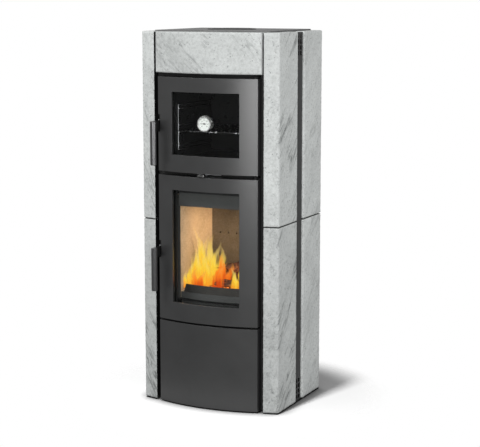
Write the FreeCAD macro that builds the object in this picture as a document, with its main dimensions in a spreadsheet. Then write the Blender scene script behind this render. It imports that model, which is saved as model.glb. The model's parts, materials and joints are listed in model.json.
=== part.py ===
import FreeCAD, Part
import math
import os
import Sketcher

# Wood stove with a bake oven, clad in soapstone. Millimetres, +Z up, front towards -Y.
# The origin lies on the floor, at the middle of the stone footprint.

SIZES = {
    "whole stove": {
        "stove_width": 560,
        "stove_depth": 400,
        "stove_height": 1400,
    },
    "base plate and levelling screws": {
        "base_thickness": 4,
        "base_inset": 3,
        "screw_radius": 5,
        "screw_hole_gap": 0.3,
        "screw_length": 12,
        "screw_lift": 0.5,
        "nut_radius": 9,
        "nut_height": 7,
        "screw_inset": 30,
    },
    "stone cladding": {
        "stone_thickness": 40,
        "stone_joint": 700,
        "stone_chamfer": 2.5,
        "pillar_face": 58.5,
        "pillar_nose": 14,
        "pillar_return": 42,
        "front_stone_side": 168,
        "channel_width": 58,
        "lintel_height": 151,
        "lintel_joint": 5.5,
    },
    "side vent channels": {
        "channel_recess": 8,
        "channel_sheet": 2,
        "channel_side_gap": 0.5,
        "channel_flange": 34,
        "channel_top_gap": 3,
        "vent_bar": 7,
        "vent_side_gap": 5,
        "vent_height": 16,
        "vent_row_pitch": 21,
        "vent_end_gap": 6,
        "bracket_thickness": 3,
        "bracket_low": 350,
        "bracket_high": 1050,
        "bracket_end_gap": 8,
    },
    "front frame": {
        "frame_setback": 16,
        "frame_thickness": 4,
        "frame_side_gap": 2,
        "store_opening_side": 61.5,
        "store_opening_rise": 8,
        "store_opening_drop": 22,
        "fire_opening_side": 75.5,
        "fire_opening_rise": 18,
        "fire_opening_drop": 50,
        "oven_side": 69.5,
        "oven_rise": 43.5,
        "oven_drop": 35,
        "shelf_thickness": 3,
        "shelf_depth": 21,
        "shelf_side": 21.5,
    },
    "doors": {
        "bow_radius": 640,
        "door_edge_reach": 34,
        "door_side_gap": 18.5,
        "door_floor_gap": 6,
        "store_door_height": 312,
        "low_gap": 8,
        "middle_gap": 14.5,
        "oven_door_height": 348.5,
        "top_gap": 14,
        "skin": 4,
        "door_back_gap": 8,
    },
    "door windows": {
        "window_side": 65.5,
        "oven_window_rise": 63,
        "oven_window_drop": 53.5,
        "fire_window_rise": 68.5,
        "fire_window_drop": 52.5,
        "window_rim": 3,
        "glass_setback": 12,
        "glass_thickness": 4,
        "glass_lap": 12,
        "glass_gap": 0.3,
        "clip_thickness": 2.5,
        "clip_lap": 9,
        "clip_foot": 13,
        "clip_height": 20,
        "clip_inset": 45,
    },
    "door inner frames and rope seals": {
        "inner_thickness": 3,
        "inner_gap": 0.3,
        "inner_margin": 10,
        "seal_gap": 0.3,
        "seal_margin": 12,
        "seal_corner": 20,
    },
    "door hinges": {
        "hinge_inset": 15,
        "pin_radius": 4,
        "running_gap": 0.05,
        "pin_reach": 12,
        "boss_radius": 8,
        "boss_height": 14,
        "lug_half_width": 11,
        "lug_thickness": 6,
        "low_lug_thickness": 4,
    },
    "door handles and latches": {
        "oven_handle_over_middle": 2.25,
        "fire_handle_under_middle": 9,
        "notch_width": 9,
        "notch_half_height": 33,
        "lever_thickness": 5,
        "pivot_clear": 13,
        "pivot_radius": 4,
        "pivot_head_radius": 7,
        "pivot_head": 2.5,
        "pivot_end_gap": 0.5,
        "tab_thickness": 3,
        "tab_half_height": 14,
        "tab_nose": 7,
        "bar_reach": 55,
        "bar_radius": 11.5,
        "bar_length": 163,
        "bar_chamfer": 2,
        "arm_rise": 10,
        "arm_drop": 28,
        "arm_root": 20,
        "lever_heel": 12,
        "neck_top": 2,
        "neck_foot": 8.5,
        "throat_rise": 2,
        "hook_gap": 0.3,
        "hook_thickness": 3.5,
        "hook_rise": 9,
        "hook_bevel": 1,
        "hook_drop": 8,
        "keeper_radius": 3.5,
        "keeper_reach": 13.7,
        "keeper_rise": 6,
        "keeper_plate": 4,
        "keeper_gap": 6,
        "keeper_nose": 6,
        "keeper_over": 1,
    },
    "thermometer": {
        "dial_over_window_middle": 3.5,
        "bezel_flange": 3,
        "bezel_depth": 6,
        "bezel_lip": 3.6,
        "case_radius": 25,
        "case_wall": 1.5,
        "case_depth": 27,
        "case_hole_gap": 0.3,
        "ring_width": 4,
        "ring_depth": 6,
        "ring_gap": 0.8,
        "probe_radius": 4,
        "probe_length": 14,
        "lens_thickness": 1,
        "lens_setback": 1,
        "dial_thickness": 1,
        "dial_fit": 0.1,
        "needle_edge_gap": 5.3,
        "needle_tail": 7,
        "needle_half_width": 1.3,
        "needle_thickness": 0.6,
        "needle_gap": 0.5,
        "needle_clear": 0.5,
        "hub_radius": 3,
        "arbor_radius": 1,
        "arbor_length": 4,
    },
    "steel body": {
        "body_side_gap": 104,
        "body_wall": 4,
        "body_rear_gap": 30,
        "body_top_drop": 24,
        "store_ceiling_drop": 10,
        "firebox_floor_rise": 68,
        "runner_width": 52,
        "runner_thickness": 3,
        "runner_gap": 10,
        "rear_panel_inset": 10,
        "rear_panel_sheet": 2,
        "rear_panel_gap": 1,
        "rear_panel_flange": 15,
        "rear_slot_length": 150,
        "rear_slot_height": 8,
        "rear_slot_pitch": 22,
        "rear_slot_inset": 40,
    },
    "top plate, flue collar and air spigot": {
        "top_sheet": 4,
        "top_plate_side_gap": 8,
        "top_plate_rear_gap": 4,
        "flue_radius": 75.5,
        "flue_wall": 4,
        "flue_ledge": 3.5,
        "flue_forward": 5,
        "flue_rim": 10,
        "flue_rim_height": 4,
        "flue_hole_gap": 2,
        "top_slot_margin": 40,
        "top_slot_width": 8,
        "top_slot_pitch": 26,
        "spigot_radius": 40,
        "spigot_wall": 2.5,
        "spigot_length": 65,
        "spigot_flange": 10,
        "spigot_flange_depth": 3,
        "spigot_hole_gap": 12,
        "spigot_rise": 41,
    },
    "firebox": {
        "lining_thickness": 30,
        "lining_drop": 82,
        "lining_front_gap": 15,
        "duct_depth": 32,
        "duct_sheet": 2,
        "duct_side_gap": 22,
        "duct_drop": 92,
        "air_hole_radius": 4,
        "air_hole_share": 0.543,
        "brick_thickness": 25,
        "brick_front_gap": 5,
        "baffle_thickness": 22,
        "baffle_front_gap": 70,
        "baffle_side_gap": 4,
        "grate_side_gap": 57,
        "grate_front_gap": 65,
        "grate_rear_gap": 49,
        "grate_thickness": 10,
        "grate_gap": 1,
        "grate_ledge": 10,
        "grate_border": 20,
        "grate_slot_width": 8,
        "sill_front_gap": 1,
        "sill_thickness": 4,
        "sill_height": 23,
        "sill_side_gap": 1,
        "retainer_gap": 0.3,
        "retainer_side_gap": 10,
        "retainer_height": 54,
        "retainer_slope": 12,
        "retainer_slope_start": 18,
        "deflector_hang": 71,
        "deflector_top_gap": 0.5,
        "deflector_sheet": 2,
        "deflector_slot": 4,
        "deflector_side_gap": 6,
    },
    "ash pan": {
        "ash_pan_side_gap": 38,
        "ash_pan_top_gap": 4.5,
        "ash_pan_sheet": 1.5,
        "ash_pan_front_gap": 8,
        "ash_pan_rear_gap": 8,
        "ash_pull_width": 90,
        "ash_pull_reach": 9,
        "ash_pull_height": 8,
        "ash_pull_drop": 18,
    },
    "oven box, rails and rack": {
        "oven_sheet": 3,
        "oven_rear_gap": 46,
        "rail_wire": 2,
        "rail_wall_gap": 0.5,
        "rail_sink": 0.5,
        "rail_front_gap": 20,
        "rail_rear_gap": 12,
        "rail_low": 32,
        "rail_pair": 15,
        "rail_middle": 97,
        "rail_middle_pair": 26,
        "rail_top_drop": 71,
        "rack_rod": 3,
        "rack_wire": 1.75,
        "rack_seat": 0.3,
        "rack_lap": 1.5,
        "rack_front_gap": 15,
        "rack_rear_gap": 15,
        "rack_wire_sink": 1,
    },
    "air slide": {
        "slide_sheet": 3,
        "slide_height": 28,
        "slide_border": 5,
        "slide_gap": 0.3,
        "guide_side_gap": 12,
        "guide_sheet": 3,
        "guide_lip": 4,
        "lever_x": -10,
        "tongue_width": 12,
        "tongue_thickness": 5,
        "tongue_reach": 62,
        "tongue_slot_side": 44,
        "tongue_slot_gap": 2.5,
        "knob_width": 28,
        "knob_depth": 16,
        "knob_height": 7,
        "knob_round": 3,
        "slide_port_width": 40,
        "slide_port_height": 8,
        "slide_port_gap": 5,
    },
    "store door catch": {
        "catch_width": 20,
        "catch_height": 30,
        "catch_gap": 0.3,
        "catch_inset": 12,
        "striker_width": 34,
        "striker_height": 40,
        "striker_thickness": 3,
    },
    "making": {
        "overrun": 20,
    },
}

VENT_ROWS = 4
REAR_SLOTS = 4
TOP_SLOTS = 6
AIR_HOLES = 7
GRATE_SLOTS = 7
RACK_WIRES = 16

doc = FreeCAD.newDocument("WoodStove")
nodes = []


class Size:
    """A length: its value in millimetres and the expression that gives it."""

    def __init__(self, value, text):
        self.value = value
        self.text = text

    def __add__(self, other):
        return Size(self.value + other.value, f"({self.text} + {other.text})")

    def __sub__(self, other):
        return Size(self.value - other.value, f"({self.text} - {other.text})")

    def __mul__(self, factor):
        if isinstance(factor, Size):
            return Size(self.value * factor.value, f"({self.text} * {factor.text})")
        return Size(self.value * factor, f"({self.text} * {factor})")

    def __truediv__(self, factor):
        return Size(self.value / factor, f"({self.text} / {factor})")

    def __neg__(self):
        return Size(-self.value, f"(-{self.text})")


ZERO = Size(0.0, "0")


def leg(hypotenuse, other_leg):
    """The second leg of a right triangle."""
    value = math.sqrt(hypotenuse.value ** 2 - other_leg.value ** 2)
    return Size(value, f"sqrt({hypotenuse.text}^2 - {other_leg.text}^2)")


class Sheet:
    """The driving dimensions, kept in the cells of a spreadsheet under their names."""

    def __init__(self):
        cells = doc.addObject("Spreadsheet::Sheet", "Dims")
        row = 1
        for group, sizes in SIZES.items():
            cells.set(f"A{row}", group)
            row += 1
            for name, value in sizes.items():
                cells.set(f"A{row}", name)
                cells.set(f"B{row}", str(value))
                cells.setAlias(f"B{row}", name)
                setattr(self, name, Size(float(value), f"Dims.{name}"))
                row += 1
        doc.recompute()


d = Sheet()

# Planes and levels that several pieces share
HALF_WIDTH = d.stove_width / 2
FRONT = -d.stove_depth / 2
REAR = d.stove_depth / 2
STONE_INSIDE = HALF_WIDTH - d.stone_thickness
OPENING_HALF = HALF_WIDTH - d.pillar_face
FRAME_FACE = FRONT + d.frame_setback
FRAME_BACK = FRAME_FACE + d.frame_thickness
BODY_HALF = HALF_WIDTH - d.body_side_gap
BODY_INSIDE = BODY_HALF - d.body_wall
BODY_REAR = REAR - d.body_rear_gap
BODY_REAR_INSIDE = BODY_REAR - d.body_wall
BODY_TOP = d.stove_height - d.body_top_drop

DOOR_HALF = OPENING_HALF - d.door_side_gap
DOOR_EDGE = FRAME_FACE - d.door_edge_reach
BOW_CENTRE = DOOR_EDGE + leg(d.bow_radius, DOOR_HALF)
DOOR_BACK = FRAME_FACE - d.door_back_gap
STORE_DOOR_LOW = d.door_floor_gap
STORE_DOOR_HIGH = STORE_DOOR_LOW + d.store_door_height
LINTEL_LOW = d.stove_height - d.lintel_height
OVEN_DOOR_HIGH = LINTEL_LOW - d.top_gap
OVEN_DOOR_LOW = OVEN_DOOR_HIGH - d.oven_door_height
FIRE_DOOR_HIGH = OVEN_DOOR_LOW - d.middle_gap
FIRE_DOOR_LOW = STORE_DOOR_HIGH + d.low_gap
FIRE_OPENING_HALF = OPENING_HALF - d.fire_opening_side
FIRE_OPENING_LOW = FIRE_DOOR_LOW + d.fire_opening_rise
FIRE_OPENING_HIGH = FIRE_DOOR_HIGH - d.fire_opening_drop
OVEN_HALF = OPENING_HALF - d.oven_side
OVEN_LOW = OVEN_DOOR_LOW + d.oven_rise
OVEN_HIGH = OVEN_DOOR_HIGH - d.oven_drop
OVEN_BACK = BODY_REAR_INSIDE - d.oven_rear_gap
OVEN_WINDOW = (OVEN_DOOR_LOW + d.oven_window_rise, OVEN_DOOR_HIGH - d.oven_window_drop)
FIRE_WINDOW = (FIRE_DOOR_LOW + d.fire_window_rise, FIRE_DOOR_HIGH - d.fire_window_drop)
WINDOW_HALF = DOOR_HALF - d.window_side
HINGE_X = DOOR_HALF - d.hinge_inset
HINGE_Y = FRAME_FACE - (d.door_back_gap + d.door_edge_reach) / 2
LEVER_OUT = -DOOR_HALF
LEVER_IN = LEVER_OUT + d.lever_thickness
PIVOT_Y = DOOR_BACK - d.inner_thickness - d.pivot_clear
GLASS_BOW = d.bow_radius - d.glass_setback
GLASS_FRONT = BOW_CENTRE - GLASS_BOW
SLIDE_LEVEL = FIRE_DOOR_HIGH + d.middle_gap / 2
OVEN_HANDLE = (OVEN_DOOR_LOW + OVEN_DOOR_HIGH) / 2 + d.oven_handle_over_middle
FIRE_HANDLE = (FIRE_DOOR_LOW + FIRE_DOOR_HIGH) / 2 - d.fire_handle_under_middle

STORE_CEILING = STORE_DOOR_HIGH - d.store_ceiling_drop
FIREBOX_PLATE = FIRE_DOOR_LOW + d.firebox_floor_rise
FIREBOX_FLOOR = FIREBOX_PLATE + d.body_wall
LINING_INSIDE = BODY_INSIDE - d.lining_thickness
LINING_TOP = FIRE_DOOR_HIGH - d.lining_drop
LINING_BACK = BODY_REAR_INSIDE - d.duct_depth
REAR_LINING_FACE = LINING_BACK - d.lining_thickness
RETAINER_HALF = LINING_INSIDE - d.retainer_side_gap
SILL_BOW = BOW_CENTRE - FRAME_BACK - d.sill_front_gap
RETAINER_BOW = SILL_BOW - d.sill_thickness - d.retainer_gap
RUNNER_TOP = FIRE_OPENING_LOW + d.runner_thickness - d.ash_pan_sheet
SLOT_REACH = d.tongue_width / 2 + d.tongue_slot_side
PORT_OFFSET = SLOT_REACH + d.slide_port_gap + d.slide_port_width / 2
GUIDE_LOW = SLIDE_LEVEL - d.slide_height / 2 - d.slide_gap - d.guide_sheet
FLUE_Y = (FRAME_BACK + BODY_REAR) / 2 - d.flue_forward
SPIGOT_LEVEL = STORE_CEILING + d.body_wall + d.spigot_rise

DIAL_LEVEL = (OVEN_WINDOW[0] + OVEN_WINDOW[1]) / 2 + d.dial_over_window_middle
BEZEL_FRONT = GLASS_FRONT - d.bezel_depth
LENS_BACK = BEZEL_FRONT + d.lens_setback + d.lens_thickness
NEEDLE_BACK = LENS_BACK + d.needle_clear + d.needle_thickness
DIAL_BACK = NEEDLE_BACK + d.needle_gap + d.dial_thickness


class Drawing:
    """A sketch on an origin plane of its body, with every point placed by an expression."""

    def __init__(self, body, role, offset=ZERO):
        self.sketch = body.newObject("Sketcher::SketchObject", "Outline")
        plane = [feature for feature in body.Origin.OriginFeatures if feature.Role == role][0]
        self.sketch.AttachmentSupport = [(plane, "")]
        self.sketch.MapMode = "FlatFace"
        self.sketch.setExpression("AttachmentOffset.Base.z", offset.text)

    def fix(self, kind, size, *where):
        index = self.sketch.addConstraint(Sketcher.Constraint(kind, *where, size.value))
        self.sketch.setExpression(f"Constraints[{index}]", size.text)

    def place(self, curve, end, across, up):
        self.fix("DistanceX", across, -1, 1, curve, end)
        self.fix("DistanceY", up, -1, 1, curve, end)

    def join(self, *where):
        self.sketch.addConstraint(Sketcher.Constraint("Coincident", *where))

    def line(self, start, end):
        ends = [FreeCAD.Vector(across.value, up.value, 0) for across, up in (start, end)]
        return self.sketch.addGeometry(Part.LineSegment(*ends))

    def polygon(self, points):
        following = points[1:] + points[:1]
        lines = [self.line(start, end) for start, end in zip(points, following)]
        for this, after in zip(lines, lines[1:] + lines[:1]):
            self.join(this, 2, after, 1)
        for line, point in zip(lines, points):
            self.place(line, 1, *point)
        return self

    def rectangle(self, left, right, low, high):
        return self.polygon([(left, low), (right, low), (right, high), (left, high)])

    def circle(self, across, up, radius):
        centre = FreeCAD.Vector(across.value, up.value, 0)
        circle = self.sketch.addGeometry(Part.Circle(centre, FreeCAD.Vector(0, 0, 1), radius.value))
        self.fix("Radius", radius, circle)
        self.place(circle, 3, across, up)
        return self

    def bow_arc(self, radius, left, right):
        """An arc round the common centre of all bowed pieces, its ends at two places across."""
        centre = FreeCAD.Vector(0, BOW_CENTRE.value, 0)
        circle = Part.Circle(centre, FreeCAD.Vector(0, 0, 1), radius.value)
        ends = [math.asin(side.value / radius.value) - math.pi / 2 for side in (left, right)]
        arc = self.sketch.addGeometry(Part.ArcOfCircle(circle, *ends))
        self.fix("Radius", radius, arc)
        self.place(arc, 3, ZERO, BOW_CENTRE)
        self.fix("DistanceX", left, -1, 1, arc, 1)
        self.fix("DistanceX", right, -1, 1, arc, 2)
        return arc

    def bow_point(self, radius, across):
        return across, BOW_CENTRE - leg(radius, across)

    def bow_band(self, outer, inner, left, right):
        """The plan of a bowed plate between two radii."""
        front = self.bow_arc(outer, left, right)
        back = self.bow_arc(inner, left, right)
        right_end = self.line(self.bow_point(outer, right), self.bow_point(inner, right))
        left_end = self.line(self.bow_point(inner, left), self.bow_point(outer, left))
        self.join(front, 2, right_end, 1)
        self.join(right_end, 2, back, 2)
        self.join(back, 1, left_end, 1)
        self.join(left_end, 2, front, 1)
        return self

    def bow_block(self, radius, half, back):
        """The plan of a block with a bowed front and a flat back."""
        front = self.bow_arc(radius, -half, half)
        right_side = self.line(self.bow_point(radius, half), (half, back))
        rear = self.line((half, back), (-half, back))
        left_side = self.line((-half, back), self.bow_point(radius, -half))
        self.join(front, 2, right_side, 1)
        self.join(right_side, 2, rear, 1)
        self.join(rear, 2, left_side, 1)
        self.join(left_side, 2, front, 1)
        self.place(rear, 1, half, back)
        self.place(rear, 2, -half, back)
        return self


def new_body(label):
    body = doc.addObject("PartDesign::Body", label)
    body.Label = label
    return body


def pad(body, drawing, length):
    """Adds the drawing's outline along its plane's own direction."""
    feature = body.newObject("PartDesign::Pad", "Pad")
    feature.Profile = drawing.sketch
    feature.setExpression("Length", length.text)
    doc.recompute()
    return feature


def pocket(body, drawing, length=None):
    """Cuts the drawing's outline: to a depth behind its plane, or both ways through everything."""
    before = body.Shape.Volume
    feature = body.newObject("PartDesign::Pocket", "Pocket")
    feature.Profile = drawing.sketch
    if length is None:
        feature.Type = "ThroughAll"
        feature.SideType = "Symmetric"
    else:
        feature.setExpression("Length", length.text)
    doc.recompute()
    if body.Shape.Volume >= before:
        raise RuntimeError(f"a cut in {body.Label} removed nothing")
    return feature


def repeat(body, feature, axis, pitch, count):
    """Repeats a cut along an axis of its sketch."""
    pattern = body.newObject("PartDesign::LinearPattern", "Row")
    pattern.Originals = [feature]
    pattern.Direction = (feature.Profile[0], [axis])
    pattern.Mode = "Spacing"
    pattern.setExpression("Offset", pitch.text)
    pattern.Occurrences = count
    body.Tip = pattern
    doc.recompute()
    return pattern


def chamfer(body, size, wanted):
    """Breaks the edges of the body that the given test picks."""
    whole = body.Tip
    picked = [f"Edge{number}" for number, edge in enumerate(whole.Shape.Edges, 1) if wanted(edge)]
    feature = body.newObject("PartDesign::Chamfer", "Broken")
    feature.Base = (whole, picked)
    feature.setExpression("Size", size.text)
    body.Tip = feature
    doc.recompute()


def revolve(body, drawing, axis):
    feature = body.newObject("PartDesign::Revolution", "Turned")
    feature.Profile = drawing.sketch
    feature.ReferenceAxis = (drawing.sketch, [axis])
    doc.recompute()
    return feature


def move(thing, x=ZERO, y=ZERO, z=ZERO):
    """Binds an object's place."""
    for axis, size in zip("xyz", (x, y, z)):
        thing.setExpression(f"Placement.Base.{axis}", size.text)


def plate(label, x, y, z):
    """A flat plate between two places on each axis."""
    box = doc.addObject("Part::Box", label)
    box.Label = label
    box.setExpression("Length", (x[1] - x[0]).text)
    box.setExpression("Width", (y[1] - y[0]).text)
    box.setExpression("Height", (z[1] - z[0]).text)
    move(box, x[0], y[0], z[0])
    return box


TURNS = {
    "x": FreeCAD.Rotation(FreeCAD.Vector(0, 1, 0), 90),
    "y": FreeCAD.Rotation(FreeCAD.Vector(1, 0, 0), -90),
    "z": FreeCAD.Rotation(),
}


def rod(label, axis, start, length, radius):
    """A round rod along one axis from its start."""
    cylinder = doc.addObject("Part::Cylinder", label)
    cylinder.Label = label
    cylinder.setExpression("Radius", radius.text)
    cylinder.setExpression("Height", length.text)
    cylinder.Placement = FreeCAD.Placement(FreeCAD.Vector(), TURNS[axis])
    move(cylinder, *start)
    return cylinder


def fuse(label, pieces):
    joined = doc.addObject("Part::MultiFuse", label)
    joined.Label = label
    joined.Shapes = pieces
    return joined


def cut(label, base, tool):
    result = doc.addObject("Part::Cut", label)
    result.Label = label
    result.Base = base
    result.Tool = tool
    return result


def mirrored(label, piece):
    """The piece of the other side."""
    twin = doc.addObject("Part::Mirroring", label)
    twin.Label = label
    twin.Source = piece
    twin.Normal = FreeCAD.Vector(1, 0, 0)
    return twin


def group(label, pieces):
    """Like pieces that share one node, as separate solids."""
    together = doc.addObject("Part::Compound", label)
    together.Label = label
    together.Links = pieces
    return together


def node(piece):
    nodes.append(piece)
    return piece


def base_plate():
    """Flat steel base that follows the stones and leaves the store door room in front."""
    body = new_body("base_plate")
    side = HALF_WIDTH - d.base_inset
    inner = OPENING_HALF + d.base_inset
    corner = FRONT + d.base_inset
    nose = FRONT - d.pillar_nose + d.base_inset
    rear = REAR - d.base_inset
    outline = [
        (side, rear), (-side, rear), (-side, corner), (-inner, nose),
        (-inner, FRAME_FACE), (inner, FRAME_FACE), (inner, nose), (side, corner),
    ]
    pad(body, Drawing(body, "XY_Plane").polygon(outline), d.base_thickness)
    holes = Drawing(body, "XY_Plane")
    for x, y in screw_places():
        holes.circle(x, y, d.screw_radius + d.screw_hole_gap)
    pocket(body, holes)
    node(body)


def screw_places():
    across = BODY_INSIDE - d.screw_inset
    front = FRAME_BACK + d.screw_inset
    back = BODY_REAR_INSIDE - d.screw_inset
    return [(-across, front), (across, front), (-across, back), (across, back)]


def levelling_screws():
    """Screws that level the stove, each with its nut on the base plate, turned in as photographed."""
    screws = []
    for number, (x, y) in enumerate(screw_places()):
        body = new_body(f"levelling_screw_{number}")
        pad(body, Drawing(body, "XY_Plane", d.screw_lift).circle(x, y, d.screw_radius), d.screw_length)
        pad(body, Drawing(body, "XY_Plane", d.base_thickness).circle(x, y, d.nut_radius), d.nut_height)
        screws.append(body)
    node(group("levelling_screws", screws))


def front_stone(label, side, low, high):
    """Corner stone with a canted front face and a return towards the door opening."""
    body = new_body(label)
    inner = OPENING_HALF * side
    outer = HALF_WIDTH * side
    inside = STONE_INSIDE * side
    nose = FRONT - d.pillar_nose
    back = nose + d.pillar_return
    end = FRONT + d.front_stone_side
    outline = [(inner, nose), (outer, FRONT), (outer, end), (inside, end), (inside, back), (inner, back)]
    pad(body, Drawing(body, "XY_Plane", low).polygon(outline), high - low)
    limit = STONE_INSIDE.value

    def outside(edge):
        middle = edge.CenterOfGravity
        canted = middle.y < FRONT.value + FreeCAD.Base.Precision.confusion()
        on_side = abs(middle.x) > HALF_WIDTH.value - FreeCAD.Base.Precision.confusion()
        return canted or (on_side and abs(middle.x) > limit)

    chamfer(body, d.stone_chamfer, outside)
    node(body)


def rear_stones():
    """Side slabs behind the vent channels, two high on each side."""
    start = FRONT + d.front_stone_side + d.channel_width
    stones = []
    spans = {"lower": (d.base_thickness, d.stone_joint), "upper": (d.stone_joint, d.stove_height)}
    for level, (low, high) in spans.items():
        body = new_body(f"rear_{level}_stone")
        drawing = Drawing(body, "XY_Plane", low).rectangle(STONE_INSIDE, HALF_WIDTH, start, REAR)
        pad(body, drawing, high - low)
        face = HALF_WIDTH.value - FreeCAD.Base.Precision.confusion()
        chamfer(body, d.stone_chamfer, lambda edge: edge.CenterOfGravity.x > face)
        stones += [body, mirrored(f"rear_{level}_stone_left", body)]
    node(group("rear_stones", stones))


def lintel_stone():
    """Bowed stone over the oven door, its front in line with the doors."""
    body = new_body("lintel_stone")
    half = OPENING_HALF - d.lintel_joint
    drawing = Drawing(body, "XY_Plane", LINTEL_LOW).bow_block(d.bow_radius, half, FRAME_FACE)
    pad(body, drawing, d.stove_height - LINTEL_LOW)
    back = FRAME_FACE.value - FreeCAD.Base.Precision.confusion()

    def on_front(edge):
        ends = [vertex.Point for vertex in edge.Vertexes]
        curve = BOW_CENTRE.value - math.sqrt(d.bow_radius.value ** 2 - half.value ** 2)
        return all(point.y < curve + FreeCAD.Base.Precision.confusion() for point in ends) and back > curve

    chamfer(body, d.stone_chamfer, on_front)
    node(body)


def side_channels():
    """Folded sheet channels between the stones, with square vents at both ends."""
    body = new_body("side_channel_right")
    face = HALF_WIDTH - d.channel_recess
    tip = face - d.channel_flange
    start = FRONT + d.front_stone_side + d.channel_side_gap
    end = start + d.channel_width - d.channel_side_gap * 2
    sheet = d.channel_sheet
    outline = [
        (tip, start), (face, start), (face, end), (tip, end), (tip, end - sheet),
        (face - sheet, end - sheet), (face - sheet, start + sheet), (tip, start + sheet),
    ]
    height = d.stove_height - d.channel_top_gap - d.base_thickness
    pad(body, Drawing(body, "XY_Plane", d.base_thickness).polygon(outline), height)
    middle = (start + end) / 2
    top = d.stove_height - d.channel_top_gap - d.vent_end_gap
    low = d.base_thickness + d.vent_end_gap + d.vent_height
    low_top = low + d.vent_row_pitch * (VENT_ROWS - 1)
    for highest in (top, low_top):
        holes = Drawing(body, "YZ_Plane", face + d.overrun)
        for side in (-1, 1):
            near = middle + d.vent_bar / 2 * side
            far = middle + (d.channel_width / 2 - d.channel_side_gap - sheet - d.vent_side_gap) * side
            left, right = (far, near) if side < 0 else (near, far)
            holes.rectangle(left, right, highest - d.vent_height, highest)
        vents = pocket(body, holes, d.overrun + sheet * 2)
        row = repeat(body, vents, "V_Axis", d.vent_row_pitch, VENT_ROWS)
        row.Reversed = True
    node(group("side_channels", [body, mirrored("side_channel_left", body)]))

    brackets = []
    inside = (start + sheet, end - sheet)
    for level, height in (("low", d.bracket_low), ("high", d.bracket_high)):
        reach = (BODY_HALF, face - sheet - d.bracket_end_gap)
        bracket = plate(f"bracket_{level}", reach, inside, (height, height + d.bracket_thickness))
        brackets += [bracket, mirrored(f"bracket_{level}_left", bracket)]
    node(group("channel_brackets", brackets))


def front_frame():
    """Steel front with the openings of oven, firebox and wood store, and the slot of the air slide."""
    body = new_body("front_frame")
    half = OPENING_HALF - d.frame_side_gap
    face = Drawing(body, "XZ_Plane", -FRAME_BACK)
    face.rectangle(-half, half, d.base_thickness, d.stove_height)
    pad(body, face, d.frame_thickness)
    openings = Drawing(body, "XZ_Plane", -FRAME_BACK)
    store_low = STORE_DOOR_LOW + d.store_opening_rise
    store_half = OPENING_HALF - d.store_opening_side
    openings.rectangle(-store_half, store_half, store_low, STORE_DOOR_HIGH - d.store_opening_drop)
    openings.rectangle(-FIRE_OPENING_HALF, FIRE_OPENING_HALF, FIRE_OPENING_LOW, FIRE_OPENING_HIGH)
    openings.rectangle(-OVEN_HALF, OVEN_HALF, OVEN_LOW, OVEN_HIGH)
    low = SLIDE_LEVEL - d.tongue_thickness / 2 - d.tongue_slot_gap
    high = SLIDE_LEVEL + d.tongue_thickness / 2 + d.tongue_slot_gap
    openings.rectangle(d.lever_x - SLOT_REACH, d.lever_x + SLOT_REACH, low, high)
    for side in (-1, 1):
        left = d.lever_x + PORT_OFFSET * side - d.slide_port_width / 2
        low = SLIDE_LEVEL - d.slide_port_height / 2
        openings.rectangle(left, left + d.slide_port_width, low, low + d.slide_port_height)
    pocket(body, openings)
    node(body)

    shelf_half = OPENING_HALF - d.shelf_side
    depth = (FRAME_FACE - d.shelf_depth, FRAME_FACE)
    level = (LINTEL_LOW - d.shelf_thickness, LINTEL_LOW)
    node(plate("lintel_bracket", (-shelf_half, shelf_half), depth, level))


def body_walls():
    """Welded steel body: side walls with the runners of the ash pan, rear wall, top and two floors."""
    wall = new_body("body_side_wall_right")
    plan = Drawing(wall, "XY_Plane", d.base_thickness)
    plan.rectangle(BODY_INSIDE, BODY_HALF, FRAME_BACK, BODY_REAR)
    pad(wall, plan, BODY_TOP - d.body_wall - d.base_thickness)
    runner_start = FRAME_BACK + d.runner_gap
    runner_end = BODY_REAR_INSIDE - d.runner_gap
    runner = Drawing(wall, "XY_Plane", RUNNER_TOP - d.runner_thickness)
    runner.rectangle(BODY_INSIDE - d.runner_width, BODY_INSIDE, runner_start, runner_end)
    pad(wall, runner, d.runner_thickness)
    node(group("body_side_walls", [wall, mirrored("body_side_wall_left", wall)]))

    rear = new_body("body_rear_wall")
    back = Drawing(rear, "XZ_Plane", -BODY_REAR)
    back.rectangle(-BODY_INSIDE, BODY_INSIDE, d.base_thickness, BODY_TOP - d.body_wall)
    pad(rear, back, d.body_wall)
    hole = Drawing(rear, "XZ_Plane").circle(ZERO, SPIGOT_LEVEL, d.spigot_radius - d.spigot_wall)
    pocket(rear, hole)
    node(rear)

    top = new_body("body_top")
    lid = Drawing(top, "XY_Plane", BODY_TOP - d.body_wall)
    lid.rectangle(-BODY_HALF, BODY_HALF, FRAME_BACK, BODY_REAR)
    pad(top, lid, d.body_wall)
    pocket(top, Drawing(top, "XY_Plane").circle(ZERO, FLUE_Y, d.flue_radius - d.flue_ledge))
    node(top)

    across = (-BODY_INSIDE, BODY_INSIDE)
    depth = (FRAME_BACK, BODY_REAR_INSIDE)
    level = (STORE_CEILING, STORE_CEILING + d.body_wall)
    node(plate("store_ceiling", across, depth, level))

    floor = new_body("firebox_floor")
    drawing = Drawing(floor, "XY_Plane", FIREBOX_PLATE)
    drawing.rectangle(-BODY_INSIDE, BODY_INSIDE, FRAME_BACK, BODY_REAR_INSIDE)
    pad(floor, drawing, d.body_wall)
    left, right, front, back = grate_bounds()
    ledge = d.grate_ledge
    drawing = Drawing(floor, "XY_Plane").rectangle(left + ledge, right - ledge, front + ledge, back - ledge)
    pocket(floor, drawing)
    node(floor)


def grate_bounds():
    half = LINING_INSIDE - d.grate_side_gap
    return -half, half, FRAME_BACK + d.grate_front_gap, REAR_LINING_FACE - d.grate_rear_gap


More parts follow.
